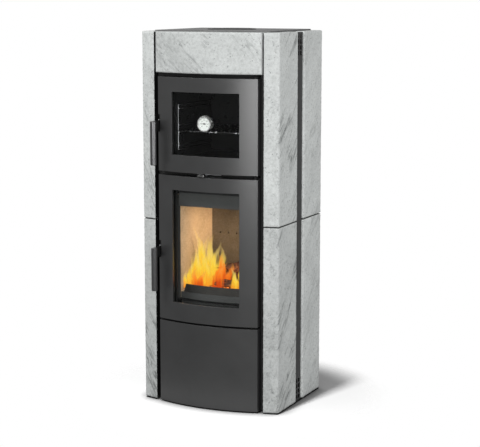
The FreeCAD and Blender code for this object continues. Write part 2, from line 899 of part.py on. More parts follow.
def rear_panel():
    """Back sheet with folded sides, rows of vent slots and room for the air spigot."""
    body = new_body("rear_panel")
    half = STONE_INSIDE - d.rear_panel_gap
    back = REAR - d.rear_panel_inset
    sheet = d.rear_panel_sheet
    front = back - d.rear_panel_flange
    outline = [
        (-half, front), (-half + sheet, front), (-half + sheet, back - sheet), (half - sheet, back - sheet),
        (half - sheet, front), (half, front), (half, back), (-half, back),
    ]
    drawing = Drawing(body, "XY_Plane", d.base_thickness).polygon(outline)
    pad(body, drawing, d.stove_height - d.base_thickness)
    hole = Drawing(body, "XZ_Plane").circle(ZERO, SPIGOT_LEVEL, d.spigot_radius + d.spigot_hole_gap)
    pocket(body, hole)
    run = d.rear_slot_pitch * (REAR_SLOTS - 1)
    lowest = d.base_thickness + d.rear_slot_inset
    highest = d.stove_height - d.rear_slot_inset - d.rear_slot_height - run
    for low in (lowest, highest):
        drawing = Drawing(body, "XZ_Plane")
        half_slot = d.rear_slot_length / 2
        drawing.rectangle(-half_slot, half_slot, low, low + d.rear_slot_height)
        slot = pocket(body, drawing)
        repeat(body, slot, "V_Axis", d.rear_slot_pitch, REAR_SLOTS)
    node(body)


def top_plate():
    """Lid plate with the hole of the flue collar and convection slots on both sides of it."""
    body = new_body("top_plate")
    half = STONE_INSIDE - d.top_plate_side_gap
    drawing = Drawing(body, "XY_Plane", d.stove_height)
    drawing.rectangle(-half, half, FRAME_FACE, REAR - d.top_plate_rear_gap)
    pad(body, drawing, d.top_sheet)
    hole = d.flue_radius + d.flue_wall + d.flue_hole_gap
    pocket(body, Drawing(body, "XY_Plane").circle(ZERO, FLUE_Y, hole))
    run = d.top_slot_pitch * (TOP_SLOTS - 1)
    first = FLUE_Y - run / 2
    length = half - hole - d.top_slot_margin * 2
    for left in (hole + d.top_slot_margin, d.top_slot_margin - half):
        drawing = Drawing(body, "XY_Plane")
        drawing.rectangle(left, left + length, first, first + d.top_slot_width)
        slot = pocket(body, drawing)
        repeat(body, slot, "V_Axis", d.top_slot_pitch, TOP_SLOTS)
    node(body)


def flue_collar():
    """Socket for the flue pipe: a tube on the body top with a rim on the top plate."""
    body = new_body("flue_collar")
    inner = d.flue_radius
    outer = inner + d.flue_wall
    rim = outer + d.flue_rim
    plate_top = d.stove_height + d.top_sheet
    high = plate_top + d.flue_rim_height
    pad(body, Drawing(body, "XY_Plane", BODY_TOP).circle(ZERO, FLUE_Y, outer), high - BODY_TOP)
    pad(body, Drawing(body, "XY_Plane", plate_top).circle(ZERO, FLUE_Y, rim), d.flue_rim_height)
    pocket(body, Drawing(body, "XY_Plane").circle(ZERO, FLUE_Y, inner))
    node(body)


def air_spigot():
    """Spigot for an outside air pipe, flanged to the rear wall under the firebox."""
    body = new_body("air_spigot")
    inner = d.spigot_radius - d.spigot_wall
    end = BODY_REAR + d.spigot_length
    pad(body, Drawing(body, "XZ_Plane", -end).circle(ZERO, SPIGOT_LEVEL, d.spigot_radius), d.spigot_length)
    flange = d.spigot_radius + d.spigot_flange
    face = BODY_REAR + d.spigot_flange_depth
    pad(body, Drawing(body, "XZ_Plane", -face).circle(ZERO, SPIGOT_LEVEL, flange), d.spigot_flange_depth)
    pocket(body, Drawing(body, "XZ_Plane").circle(ZERO, SPIGOT_LEVEL, inner))
    node(body)


def firebox():
    """Linings, floor bricks, grate, baffle, air duct and the plates behind the fire window."""
    walls = (FIREBOX_FLOOR, LINING_TOP)
    depth = (FRAME_BACK + d.lining_front_gap, LINING_BACK)
    right = plate("side_lining_right", (LINING_INSIDE, BODY_INSIDE), depth, walls)
    node(group("side_linings", [right, mirrored("side_lining_left", right)]))

    rear = new_body("rear_lining")
    drawing = Drawing(rear, "XZ_Plane", -LINING_BACK).rectangle(-LINING_INSIDE, LINING_INSIDE, *walls)
    pad(rear, drawing, d.lining_thickness)
    hole = Drawing(rear, "XZ_Plane")
    pitch = LINING_INSIDE * 2 / (AIR_HOLES + 1)
    level = FIREBOX_FLOOR + (LINING_TOP - FIREBOX_FLOOR) * d.air_hole_share
    hole.circle(pitch - LINING_INSIDE, level, d.air_hole_radius)
    repeat(rear, pocket(rear, hole), "H_Axis", pitch, AIR_HOLES)
    node(rear)

    duct = new_body("rear_air_duct")
    half = LINING_INSIDE - d.duct_side_gap
    within = half - d.duct_sheet
    back = BODY_REAR_INSIDE - d.duct_sheet
    outline = [
        (-half, LINING_BACK), (-within, LINING_BACK), (-within, back), (within, back),
        (within, LINING_BACK), (half, LINING_BACK), (half, BODY_REAR_INSIDE), (-half, BODY_REAR_INSIDE),
    ]
    height = LINING_TOP - d.duct_drop - FIREBOX_FLOOR
    pad(duct, Drawing(duct, "XY_Plane", FIREBOX_FLOOR).polygon(outline), height)
    node(duct)

    left, right, front, back = grate_bounds()
    gap = d.grate_gap
    retainer_end = BOW_CENTRE - leg(RETAINER_BOW - d.sill_thickness, RETAINER_HALF)
    brick_front = retainer_end + d.brick_front_gap
    level = (FIREBOX_FLOOR, FIREBOX_FLOOR + d.brick_thickness)
    sides = (brick_front, REAR_LINING_FACE)
    across = (left - gap, right + gap)
    bricks = [
        plate("floor_brick_left", (-LINING_INSIDE, left - gap), sides, level),
        plate("floor_brick_right", (right + gap, LINING_INSIDE), sides, level),
        plate("floor_brick_front", across, (brick_front, front - gap), level),
        plate("floor_brick_rear", across, (back + gap, REAR_LINING_FACE), level),
    ]
    node(group("floor_bricks", bricks))

    grate = new_body("grate")
    drawing = Drawing(grate, "XY_Plane", FIREBOX_FLOOR).rectangle(left, right, front, back)
    pad(grate, drawing, d.grate_thickness)
    slot = Drawing(grate, "XY_Plane")
    pitch = (right - left - d.grate_border) / GRATE_SLOTS
    start = -pitch * ((GRATE_SLOTS - 1) / 2) - d.grate_slot_width / 2
    slot.rectangle(start, start + d.grate_slot_width, front + d.grate_border, back - d.grate_border)
    repeat(grate, pocket(grate, slot), "H_Axis", pitch, GRATE_SLOTS)
    node(grate)

    baffle_half = BODY_INSIDE - d.baffle_side_gap
    depth = (FRAME_BACK + d.baffle_front_gap, REAR_LINING_FACE)
    level = (LINING_TOP, LINING_TOP + d.baffle_thickness)
    node(plate("baffle_plate", (-baffle_half, baffle_half), depth, level))

    sill = new_body("firebox_sill")
    half = LINING_INSIDE - d.sill_side_gap
    band = Drawing(sill, "XY_Plane", FIREBOX_FLOOR)
    band.bow_band(SILL_BOW, SILL_BOW - d.sill_thickness, -half, half)
    pad(sill, band, d.sill_height)
    node(sill)

    log_retainer()

    deflector = new_body("airwash_deflector")
    low = FIRE_OPENING_HIGH - d.deflector_hang
    high = GUIDE_LOW - d.deflector_top_gap
    sheet = d.deflector_sheet
    inner_face = FRAME_BACK + d.deflector_slot
    outline = [
        (FRAME_BACK, high), (FRAME_BACK, high - sheet), (inner_face, high - sheet), (inner_face, low),
        (inner_face + sheet, low), (inner_face + sheet, high),
    ]
    half = FIRE_OPENING_HALF - d.deflector_side_gap
    pad(deflector, Drawing(deflector, "YZ_Plane", -half).polygon(outline), half * 2)
    node(deflector)


def log_retainer():
    """Bowed plate with sloped ends that keeps the logs off the window."""
    body = new_body("log_retainer")
    half = RETAINER_HALF
    band = Drawing(body, "XY_Plane", FIREBOX_FLOOR)
    band.bow_band(RETAINER_BOW, RETAINER_BOW - d.sill_thickness, -half, half)
    pad(body, band, d.retainer_height)
    ends = Drawing(body, "XZ_Plane")
    foot = FIREBOX_FLOOR + d.retainer_slope_start
    high = FIREBOX_FLOOR + d.retainer_height
    for side in (-1, 1):
        outer = half * side
        ends.polygon([(outer, foot), (outer, high), (outer - d.retainer_slope * side, high)])
    pocket(body, ends)
    node(body)


def ash_pan():
    """Sheet tray on the runners under the grate, with a folded pull."""
    body = new_body("ash_pan")
    half = BODY_INSIDE - d.ash_pan_side_gap
    low = RUNNER_TOP
    high = FIREBOX_PLATE - d.ash_pan_top_gap
    front = FRAME_BACK + d.ash_pan_front_gap
    back = BODY_REAR_INSIDE - d.runner_gap - d.ash_pan_rear_gap
    sheet = d.ash_pan_sheet
    pad(body, Drawing(body, "XY_Plane", low).rectangle(-half, half, front, back), high - low)
    inside = Drawing(body, "XY_Plane", high)
    inside.rectangle(-half + sheet, half - sheet, front + sheet, back - sheet)
    pocket(body, inside, high - low - sheet)
    pull_half = d.ash_pull_width / 2
    level = high - d.ash_pull_drop
    tip = front - d.ash_pull_reach
    lip = level - d.ash_pull_height
    outline = [
        (front, level), (tip, level), (tip, lip), (tip + sheet, lip),
        (tip + sheet, level - sheet), (front, level - sheet),
    ]
    pad(body, Drawing(body, "YZ_Plane", -pull_half).polygon(outline), d.ash_pull_width)
    node(body)


def oven_box():
    """Sheet box of the oven, open at the front frame."""
    body = new_body("oven_box")
    sheet = d.oven_sheet
    half = OVEN_HALF + sheet
    back = OVEN_BACK + sheet
    outer = Drawing(body, "XZ_Plane", -back)
    outer.rectangle(-half, half, OVEN_LOW - sheet, OVEN_HIGH + sheet)
    pad(body, outer, back - FRAME_BACK)
    inner = Drawing(body, "XZ_Plane", -FRAME_BACK)
    inner.rectangle(-OVEN_HALF, OVEN_HALF, OVEN_LOW, OVEN_HIGH)
    pocket(body, inner, OVEN_BACK - FRAME_BACK)
    node(body)


def oven_rails_and_rack():
    """Chrome wire rails on the oven's sides, and the wire rack that slides on them."""
    front = FRAME_BACK + d.rail_front_gap
    back = OVEN_BACK - d.rail_rear_gap
    post_x = OVEN_HALF - d.rail_wall_gap - d.rail_wire
    wire_x = post_x - d.rail_wire * 2 + d.rail_sink
    low = OVEN_LOW + d.rail_low
    high = OVEN_HIGH - d.rail_top_drop
    middle = OVEN_LOW + d.rail_middle
    levels = [low, low + d.rail_pair, middle, middle + d.rail_middle_pair, high - d.rail_pair, high]
    wires = []
    for number, y in enumerate((front, back)):
        wires.append(rod(f"rail_post_{number}", "z", (post_x, y, low), high - low, d.rail_wire))
    for number, level in enumerate(levels):
        wires.append(rod(f"rail_wire_{number}", "y", (wire_x, front, level), back - front, d.rail_wire))
    right = fuse("oven_rail_right", wires)
    node(group("oven_side_rails", [right, mirrored("oven_rail_left", right)]))

    rack_front = FRAME_BACK + d.rack_front_gap
    rack_back = OVEN_BACK - d.rack_rear_gap
    length = rack_back - rack_front
    beside = d.rail_wire + d.rack_rod - d.rack_lap
    level = middle + leg(d.rail_wire + d.rack_rod + d.rack_seat, beside)
    side = wire_x - beside
    rods = []
    for number, x in enumerate((-side, side)):
        rods.append(rod(f"rack_side_{number}", "y", (x, rack_front, level), length, d.rack_rod))
    cross = (rack_front + d.rack_rod, rack_back - d.rack_rod)
    for number, y in enumerate(cross):
        rods.append(rod(f"rack_end_{number}", "x", (-side, y, level), side * 2, d.rack_rod))
    wire_level = level + d.rack_rod + d.rack_wire - d.rack_wire_sink
    pitch = side * 2 / (RACK_WIRES + 1)
    for number in range(RACK_WIRES):
        x = pitch * (number + 1) - side
        rods.append(rod(f"rack_wire_{number}", "y", (x, rack_front, wire_level), length, d.rack_wire))
    node(fuse("oven_rack", rods))


def air_slide():
    """Sliding air plate behind the front frame, its two guides, and the knob in the gap of the doors."""
    half = PORT_OFFSET + d.slide_port_width / 2 + d.slide_border
    half_height = d.slide_height / 2
    front = FRAME_BACK + d.slide_gap
    back = front + d.slide_sheet
    body = new_body("air_slide")
    face = Drawing(body, "XZ_Plane", -back)
    face.rectangle(d.lever_x - half, d.lever_x + half, SLIDE_LEVEL - half_height, SLIDE_LEVEL + half_height)
    pad(body, face, d.slide_sheet)
    ports = Drawing(body, "XZ_Plane")
    for side in (-1, 1):
        left = d.lever_x + PORT_OFFSET * side - d.slide_port_width / 2
        low = SLIDE_LEVEL - d.slide_port_height / 2
        ports.rectangle(left, left + d.slide_port_width, low, low + d.slide_port_height)
    pocket(body, ports)
    tongue = Drawing(body, "XZ_Plane", -front)
    left = d.lever_x - d.tongue_width / 2
    low = SLIDE_LEVEL - d.tongue_thickness / 2
    tongue.rectangle(left, left + d.tongue_width, low, low + d.tongue_thickness)
    pad(body, tongue, d.tongue_reach)
    node(body)

    knob = new_body("air_knob")
    tip = front - d.tongue_reach
    left = d.lever_x - d.knob_width / 2
    low = SLIDE_LEVEL - d.knob_height / 2
    face = Drawing(knob, "XZ_Plane", -tip).rectangle(left, left + d.knob_width, low, low + d.knob_height)
    pad(knob, face, d.knob_depth)
    upright = FreeCAD.Vector(0, 0, 1)
    tip_end = tip.value - d.knob_depth.value

    def nose(edge):
        along = edge.tangentAt(edge.FirstParameter)
        return abs(along.dot(upright)) > abs(along.x) and edge.CenterOfGravity.y < (tip.value + tip_end) / 2

    chamfer(knob, d.knob_round, nose)
    node(knob)

    guides = []
    guide_half = BODY_INSIDE - d.guide_side_gap
    lip_front = back + d.slide_gap
    for name, side in (("low", -1), ("high", 1)):
        guide = new_body(f"air_guide_{name}")
        inner = SLIDE_LEVEL + (half_height + d.slide_gap) * side
        outer = inner + d.guide_sheet * side
        lip = inner - d.guide_lip * side
        lip_back = lip_front + d.guide_sheet
        outline = [
            (FRAME_BACK, inner), (lip_front, inner), (lip_front, lip), (lip_back, lip),
            (lip_back, outer), (FRAME_BACK, outer),
        ]
        pad(guide, Drawing(guide, "YZ_Plane", -guide_half).polygon(outline), guide_half * 2)
        guides.append(guide)
    node(group("air_guides", guides))


def hinges():
    """Lugs on the front frame in the gaps of the doors, and the pins that the doors turn on."""
    lugs = []
    pins = []
    level = (STORE_DOOR_HIGH + FIRE_DOOR_LOW) / 2
    half_low = d.low_lug_thickness / 2
    half_lug = d.lug_thickness / 2
    top_level = OVEN_DOOR_HIGH + (d.top_gap - d.shelf_thickness) / 2
    lug_spans = {
        "base": (ZERO, d.base_thickness),
        "low": (level - half_low, level + half_low),
        "middle": (SLIDE_LEVEL - half_lug, SLIDE_LEVEL + half_lug),
        "top": (top_level - half_lug, top_level + half_lug),
    }
    pin_spans = {
        "base": (ZERO, STORE_DOOR_LOW + d.pin_reach),
        "low": (STORE_DOOR_HIGH - d.pin_reach, FIRE_DOOR_LOW + d.pin_reach),
        "middle": (FIRE_DOOR_HIGH - d.pin_reach, OVEN_DOOR_LOW + d.pin_reach),
        "top": (OVEN_DOOR_HIGH - d.pin_reach, top_level + half_lug),
    }
    for place, (low, high) in lug_spans.items():
        lug = new_body(f"hinge_lug_{place}")
        plan = Drawing(lug, "XY_Plane", low)
        plan.rectangle(HINGE_X - d.lug_half_width, HINGE_X + d.lug_half_width, HINGE_Y, FRAME_FACE)
        pad(lug, plan, high - low)
        pad(lug, Drawing(lug, "XY_Plane", low).circle(HINGE_X, HINGE_Y, d.lug_half_width), high - low)
        pocket(lug, Drawing(lug, "XY_Plane").circle(HINGE_X, HINGE_Y, d.pin_radius + d.running_gap))
        lugs.append(lug)
    for place, (low, high) in pin_spans.items():
        pins.append(rod(f"hinge_pin_{place}", "z", (HINGE_X, HINGE_Y, low), high - low, d.pin_radius))
    node(group("hinge_lugs", lugs))
    node(group("hinge_pins", pins))


def door_skin(label, low, high, window=None, handle=None):
    """Bowed steel tray of a door, with hinge bosses, window rim and the notch of the handle."""
    body = new_body(label)
    pad(body, Drawing(body, "XY_Plane", low).bow_block(d.bow_radius, DOOR_HALF, DOOR_BACK), high - low)
    inner_bow = d.bow_radius - d.skin
    hollow = Drawing(body, "XY_Plane", high - d.skin)
    hollow.bow_block(inner_bow, DOOR_HALF - d.skin, DOOR_BACK + d.overrun)
    pocket(body, hollow, high - low - d.skin * 2)
    for level in (low, high - d.boss_height):
        pad(body, Drawing(body, "XY_Plane", level).circle(HINGE_X, HINGE_Y, d.boss_radius), d.boss_height)
    if window:
        window_low, window_high = window
        rim_half = WINDOW_HALF + d.window_rim
        rim = Drawing(body, "XY_Plane", window_low - d.window_rim)
        rim.bow_band(d.bow_radius - d.skin / 2, GLASS_BOW + d.glass_gap, -rim_half, rim_half)
        pad(body, rim, window_high - window_low + d.window_rim * 2)
        opening = Drawing(body, "XZ_Plane").rectangle(-WINDOW_HALF, WINDOW_HALF, window_low, window_high)
        pocket(body, opening)
    if handle:
        notch = Drawing(body, "XZ_Plane")
        level = (handle - d.notch_half_height, handle + d.notch_half_height)
        notch.rectangle(-DOOR_HALF - d.overrun, -DOOR_HALF + d.notch_width, *level)
        pocket(body, notch)
    pocket(body, Drawing(body, "XY_Plane").circle(HINGE_X, HINGE_Y, d.pin_radius + d.running_gap))
    return body


def door_glass(label, window, hole=None):
    """Bowed glass behind the window rim."""
    body = new_body(label)
    low, high = window
    half = WINDOW_HALF + d.glass_lap
    band = Drawing(body, "XY_Plane", low - d.glass_lap)
    band.bow_band(GLASS_BOW, GLASS_BOW - d.glass_thickness, -half, half)
    pad(body, band, high - low + d.glass_lap * 2)
    if hole:
        pocket(body, Drawing(body, "XZ_Plane").circle(ZERO, hole, d.case_radius + d.case_hole_gap))
    node(body)


def glass_clips(label, window):
    """Sheet clips that hold the glass by its sides, each with a foot on the skin."""
    low, high = window
    glass_edge = WINDOW_HALF + d.glass_lap
    foot_in = glass_edge + d.clip_thickness
    foot_out = foot_in + d.clip_foot
    behind = GLASS_BOW - d.glass_thickness - d.glass_gap
    clips = []
    for name, level in (("low", low + d.clip_inset), ("high", high - d.clip_inset)):
        body = new_body(f"{label}_{name}")
        start = level - d.clip_height / 2
        strip = Drawing(body, "XY_Plane", start)
        strip.bow_band(behind, behind - d.clip_thickness, glass_edge - d.clip_lap, foot_out)
        pad(body, strip, d.clip_height)
        foot = Drawing(body, "XY_Plane", start)
        foot.bow_band(d.bow_radius - d.skin, behind - d.clip_thickness, foot_in, foot_out)
        pad(body, foot, d.clip_height)
        clips += [body, mirrored(f"{label}_{name}_left", body)]
    node(group(label, clips))


def door_inner_frame(label, low, high, window, handle):
    """Flat plate that closes the back of the door round the window, with the tab and stud of the latch."""
    body = new_body(label)
    half = DOOR_HALF - d.skin - d.inner_gap
    edge = d.skin + d.inner_gap
    face = Drawing(body, "XZ_Plane", -DOOR_BACK).rectangle(-half, half, low + edge, high - edge)
    pad(body, face, d.inner_thickness)
    window_low, window_high = window
    opening_half = WINDOW_HALF + d.inner_margin
    opening = Drawing(body, "XZ_Plane")
    opening.rectangle(-opening_half, opening_half, window_low - d.inner_margin, window_high + d.inner_margin)
    notch_in = -DOOR_HALF + d.notch_width
    level = (handle - d.notch_half_height, handle + d.notch_half_height)
    opening.rectangle(-DOOR_HALF - d.overrun, notch_in, *level)
    pocket(body, opening)
    front = DOOR_BACK - d.inner_thickness
    tab = Drawing(body, "YZ_Plane", notch_in)
    tab.rectangle(PIVOT_Y - d.tab_nose, front, handle - d.tab_half_height, handle + d.tab_half_height)
    pad(body, tab, d.tab_thickness)
    stud_end = LEVER_OUT - d.pivot_end_gap
    stud = Drawing(body, "YZ_Plane", stud_end).circle(PIVOT_Y, handle, d.pivot_radius)
    pad(body, stud, notch_in - stud_end)
    head = Drawing(body, "YZ_Plane", stud_end - d.pivot_head).circle(PIVOT_Y, handle, d.pivot_head_radius)
    pad(body, head, d.pivot_head)
    node(body)


def door_seal(label, half, low, high):
    """Rope seal laid as a loop round the opening, between the inner frame and the front frame."""
    body = new_body(label)
    radius = (d.door_back_gap - d.seal_gap) / 2
    level = DOOR_BACK + radius
    corner = d.seal_corner
    route = Drawing(body, "XZ_Plane", -level)
    corners = [(half, low, -90), (half, high, 0), (-half, high, 90), (-half, low, 180)]
    arcs = []
    for across, up, angle in corners:
        centre_x = across - corner if across.value > 0 else across + corner
        centre_z = up - corner if up.value > low.value else up + corner
        centre = FreeCAD.Vector(centre_x.value, centre_z.value, 0)
        circle = Part.Circle(centre, FreeCAD.Vector(0, 0, 1), corner.value)
        turn = (math.radians(angle), math.radians(angle + 90))
        arc = route.sketch.addGeometry(Part.ArcOfCircle(circle, *turn))
        route.fix("Radius", corner, arc)
        route.place(arc, 3, centre_x, centre_z)
        arcs.append((arc, centre_x, centre_z))
    runs = []
    for (arc, x, z), (after, next_x, next_z) in zip(arcs, arcs[1:] + arcs[:1]):
        start = route.sketch.Geometry[arc].EndPoint
        end = route.sketch.Geometry[after].StartPoint
        run = route.sketch.addGeometry(Part.LineSegment(start, end))
        route.sketch.addConstraint(Sketcher.Constraint("Tangent", arc, 2, run, 1))
        route.sketch.addConstraint(Sketcher.Constraint("Tangent", run, 2, after, 1))
        runs.append(run)
    section = Drawing(body, "YZ_Plane").circle(level, low, radius)
    doc.recompute()
    pipe = body.newObject("PartDesign::AdditivePipe", "Rope")
    pipe.Profile = section.sketch
    edges = [f"Edge{number}" for number in range(1, len(route.sketch.Shape.Edges) + 1)]
    pipe.Spine = (route.sketch, edges)
    doc.recompute()
    node(body)


def handle_lever(label, handle):
    """Flat lever of a door handle: arm to the bar, bore on the stud, and the hook of the latch."""
    body = new_body(label)
    tip = PIVOT_Y - d.bar_reach
    hook_front = PIVOT_Y + d.keeper_reach + d.keeper_radius + d.hook_gap
    hook_back = hook_front + d.hook_thickness
    outline = [
        (tip, handle + d.arm_rise),
        (PIVOT_Y + d.neck_top, handle + d.arm_rise),
        (PIVOT_Y + d.neck_foot, handle + d.throat_rise),
        (hook_front, handle + d.throat_rise),
        (hook_front, handle + d.hook_rise),
        (hook_back - d.hook_bevel, handle + d.hook_rise),
        (hook_back, handle + d.hook_rise - d.hook_bevel),
        (hook_back, handle - d.hook_drop),
        (PIVOT_Y, handle - d.lever_heel),
        (PIVOT_Y - d.arm_root, handle - d.arm_drop),
        (tip, handle - d.arm_drop),
    ]
    pad(body, Drawing(body, "YZ_Plane", LEVER_OUT).polygon(outline), d.lever_thickness)
    pocket(body, Drawing(body, "YZ_Plane").circle(PIVOT_Y, handle, d.pivot_radius + d.running_gap))
    node(body)


def handle_bar(label, handle):
    """Round bar of a door handle, slotted at the top for the lever."""
    body = new_body(label)
    x = LEVER_OUT + d.lever_thickness / 2
    y = PIVOT_Y - d.bar_reach
    top = handle + d.arm_rise
    low = top - d.bar_length
    pad(body, Drawing(body, "XY_Plane", low).circle(x, y, d.bar_radius), d.bar_length)
    chamfer(body, d.bar_chamfer, lambda edge: isinstance(edge.Curve, Part.Circle))
    slot = Drawing(body, "XY_Plane", top).rectangle(LEVER_OUT, LEVER_IN, y, y + d.overrun)
    pocket(body, slot, d.arm_rise + d.arm_drop)
    node(body)


def latch_keepers():
    """Pins on the front frame, each on a small plate, that the hooks of the handles grip."""
    keepers = []
    for name, handle in (("oven", OVEN_HANDLE), ("fire", FIRE_HANDLE)):
        body = new_body(f"latch_keeper_{name}")
        start = LEVER_OUT - d.keeper_gap - d.keeper_plate
        y = PIVOT_Y + d.keeper_reach
        z = handle + d.keeper_rise
        cheek = Drawing(body, "YZ_Plane", start)
        cheek.rectangle(y - d.keeper_nose, FRAME_FACE, z - d.keeper_nose, z + d.keeper_nose)
        pad(body, cheek, d.keeper_plate)
        pin = Drawing(body, "YZ_Plane", start).circle(y, z, d.keeper_radius)
        pad(body, pin, LEVER_IN + d.keeper_over - start)
        keepers.append(body)
    node(group("latch_keepers", keepers))


def thermometer():
    """Dial thermometer held in the oven glass: case, dial, needle and lens, all about one axis."""
    case = new_body("thermometer_case")
    bezel = d.case_radius + d.bezel_flange
    bore = d.case_radius - d.case_wall
    case_back = GLASS_FRONT + d.case_depth
    ring_front = GLASS_FRONT + d.glass_thickness + d.ring_gap
    ring_back = ring_front + d.ring_depth
    ring = d.case_radius + d.ring_width
    probe_end = case_back + d.probe_length
    lip = bezel - d.bezel_lip
    profile = [
        (lip, BEZEL_FRONT), (bezel, BEZEL_FRONT), (bezel, GLASS_FRONT),
        (d.case_radius, GLASS_FRONT), (d.case_radius, ring_front), (ring, ring_front), (ring, ring_back),
        (d.case_radius, ring_back), (d.case_radius, case_back), (d.probe_radius, case_back),
        (d.probe_radius, probe_end), (ZERO, probe_end), (ZERO, case_back - d.case_wall),
        (bore, case_back - d.case_wall), (bore, DIAL_BACK), (lip, DIAL_BACK),
    ]
    revolve(case, Drawing(case, "XY_Plane", DIAL_LEVEL).polygon(profile), "V_Axis")
    node(case)

    fitted = lip - d.dial_fit
    dial = new_body("thermometer_dial")
    pad(dial, Drawing(dial, "XZ_Plane", -DIAL_BACK).circle(ZERO, DIAL_LEVEL, fitted), d.dial_thickness)
    pocket(dial, Drawing(dial, "XZ_Plane").circle(ZERO, DIAL_LEVEL, d.arbor_radius + d.running_gap))
    node(dial)

    lens = new_body("thermometer_lens")
    pad(lens, Drawing(lens, "XZ_Plane", -LENS_BACK).circle(ZERO, DIAL_LEVEL, fitted), d.lens_thickness)
    node(lens)

    needle = new_body("thermometer_needle")
    half = d.needle_half_width
    pointer = Drawing(needle, "XZ_Plane", -NEEDLE_BACK)
    below = DIAL_LEVEL - half
    above = DIAL_LEVEL + half
    tip = (d.needle_edge_gap - fitted, DIAL_LEVEL)
    pointer.polygon([tip, (ZERO, below), (d.needle_tail, below), (d.needle_tail, above), (ZERO, above)])
    pad(needle, pointer, d.needle_thickness)
    hub = Drawing(needle, "XZ_Plane", -NEEDLE_BACK).circle(ZERO, DIAL_LEVEL, d.hub_radius)
    pad(needle, hub, d.needle_thickness)
    arbor_end = NEEDLE_BACK + d.arbor_length
    arbor = Drawing(needle, "XZ_Plane", -arbor_end).circle(ZERO, DIAL_LEVEL, d.arbor_radius)
    pad(needle, arbor, d.arbor_length)
    node(needle)


def oven_door():
    node(door_skin("oven_door_skin", OVEN_DOOR_LOW, OVEN_DOOR_HIGH, OVEN_WINDOW, OVEN_HANDLE))
    door_glass("oven_door_glass", OVEN_WINDOW, DIAL_LEVEL)
    glass_clips("oven_glass_clips", OVEN_WINDOW)
    door_inner_frame("oven_door_inner_frame", OVEN_DOOR_LOW, OVEN_DOOR_HIGH, OVEN_WINDOW, OVEN_HANDLE)
    margin = d.seal_margin
    door_seal("oven_door_seal", OVEN_HALF + margin, OVEN_LOW - margin, OVEN_HIGH + margin)
    handle_lever("oven_handle_lever", OVEN_HANDLE)
    handle_bar("oven_handle_bar", OVEN_HANDLE)


def fire_door():
    node(door_skin("fire_door_skin", FIRE_DOOR_LOW, FIRE_DOOR_HIGH, FIRE_WINDOW, FIRE_HANDLE))
    door_glass("fire_door_glass", FIRE_WINDOW)
    glass_clips("fire_glass_clips", FIRE_WINDOW)
    door_inner_frame("fire_door_inner_frame", FIRE_DOOR_LOW, FIRE_DOOR_HIGH, FIRE_WINDOW, FIRE_HANDLE)
    low = FIRE_OPENING_LOW - d.door_back_gap
    door_seal("fire_door_seal", FIRE_OPENING_HALF + d.seal_margin, low, FIRE_OPENING_HIGH + d.seal_margin)
    handle_lever("fire_handle_lever", FIRE_HANDLE)
    handle_bar("fire_handle_bar", FIRE_HANDLE)


def store_door():
    """Plain door of the wood store, with a striker for the magnet catch on the frame."""
    skin = door_skin("store_door_skin", STORE_DOOR_LOW, STORE_DOOR_HIGH)
    middle = (STORE_DOOR_LOW + STORE_DOOR_HIGH) / 2
    left = -DOOR_HALF + d.skin
    half = d.striker_height / 2
    strip = Drawing(skin, "XZ_Plane", -DOOR_BACK)
    strip.rectangle(left, left + d.striker_width, middle - half, middle + half)
    pad(skin, strip, d.striker_thickness)
    node(skin)
    start = left + d.catch_inset
    depth = (DOOR_BACK + d.catch_gap, FRAME_FACE)
    half_catch = d.catch_height / 2
    level = (middle - half_catch, middle + half_catch)
    node(plate("store_door_catch", (start, start + d.catch_width), depth, level))


def build():
    base_plate()
    levelling_screws()
    for name, side in (("left", -1), ("right", 1)):
        front_stone(f"front_{name}_lower_stone", side, d.base_thickness, d.stone_joint)
        front_stone(f"front_{name}_upper_stone", side, d.stone_joint, d.stove_height)
    rear_stones()
    lintel_stone()
    side_channels()
    front_frame()
    body_walls()
    rear_panel()
    top_plate()
    flue_collar()
    air_spigot()
    firebox()
    ash_pan()
    oven_box()
    oven_rails_and_rack()
    air_slide()
    hinges()
    latch_keepers()
    oven_door()
    thermometer()
    fire_door()
    store_door()
    doc.recompute()


def check_and_write():
    for thing in doc.Objects:
        if "Invalid" in thing.State or "Error" in thing.State:
            raise RuntimeError(f"{thing.Label} did not build")
    for piece in nodes:
        if piece.Shape.isNull() or not piece.Shape.isValid():
            raise RuntimeError(f"{piece.Label} has no valid shape")
    os.makedirs("parts", exist_ok=True)
    for piece in nodes:
        piece.Shape.exportStep(f"parts/{piece.Label}.step")
    print(len(nodes), "nodes written")


build()
check_and_write()
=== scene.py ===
import json
import math

import bmesh
import bpy
from mathutils import Matrix, Vector


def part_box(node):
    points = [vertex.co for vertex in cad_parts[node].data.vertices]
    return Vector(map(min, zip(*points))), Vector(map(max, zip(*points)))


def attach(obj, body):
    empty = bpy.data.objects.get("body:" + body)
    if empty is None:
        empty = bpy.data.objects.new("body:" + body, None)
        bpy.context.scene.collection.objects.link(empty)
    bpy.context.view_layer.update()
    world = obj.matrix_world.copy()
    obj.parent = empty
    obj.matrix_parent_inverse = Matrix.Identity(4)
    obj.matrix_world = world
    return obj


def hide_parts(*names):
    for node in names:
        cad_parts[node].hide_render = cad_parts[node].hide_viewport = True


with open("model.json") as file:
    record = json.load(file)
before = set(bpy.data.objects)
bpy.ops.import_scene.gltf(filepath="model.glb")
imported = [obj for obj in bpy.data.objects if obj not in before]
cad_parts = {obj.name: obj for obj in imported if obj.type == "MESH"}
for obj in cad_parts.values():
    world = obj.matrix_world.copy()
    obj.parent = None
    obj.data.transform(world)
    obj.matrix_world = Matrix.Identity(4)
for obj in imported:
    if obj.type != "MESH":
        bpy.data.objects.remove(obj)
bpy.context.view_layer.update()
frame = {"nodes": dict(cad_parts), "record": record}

# Wood stove with a bake oven in soapstone: the looks of its pieces, the fire in it and the studio.
# Metres, +Z up, the doors face -Y.

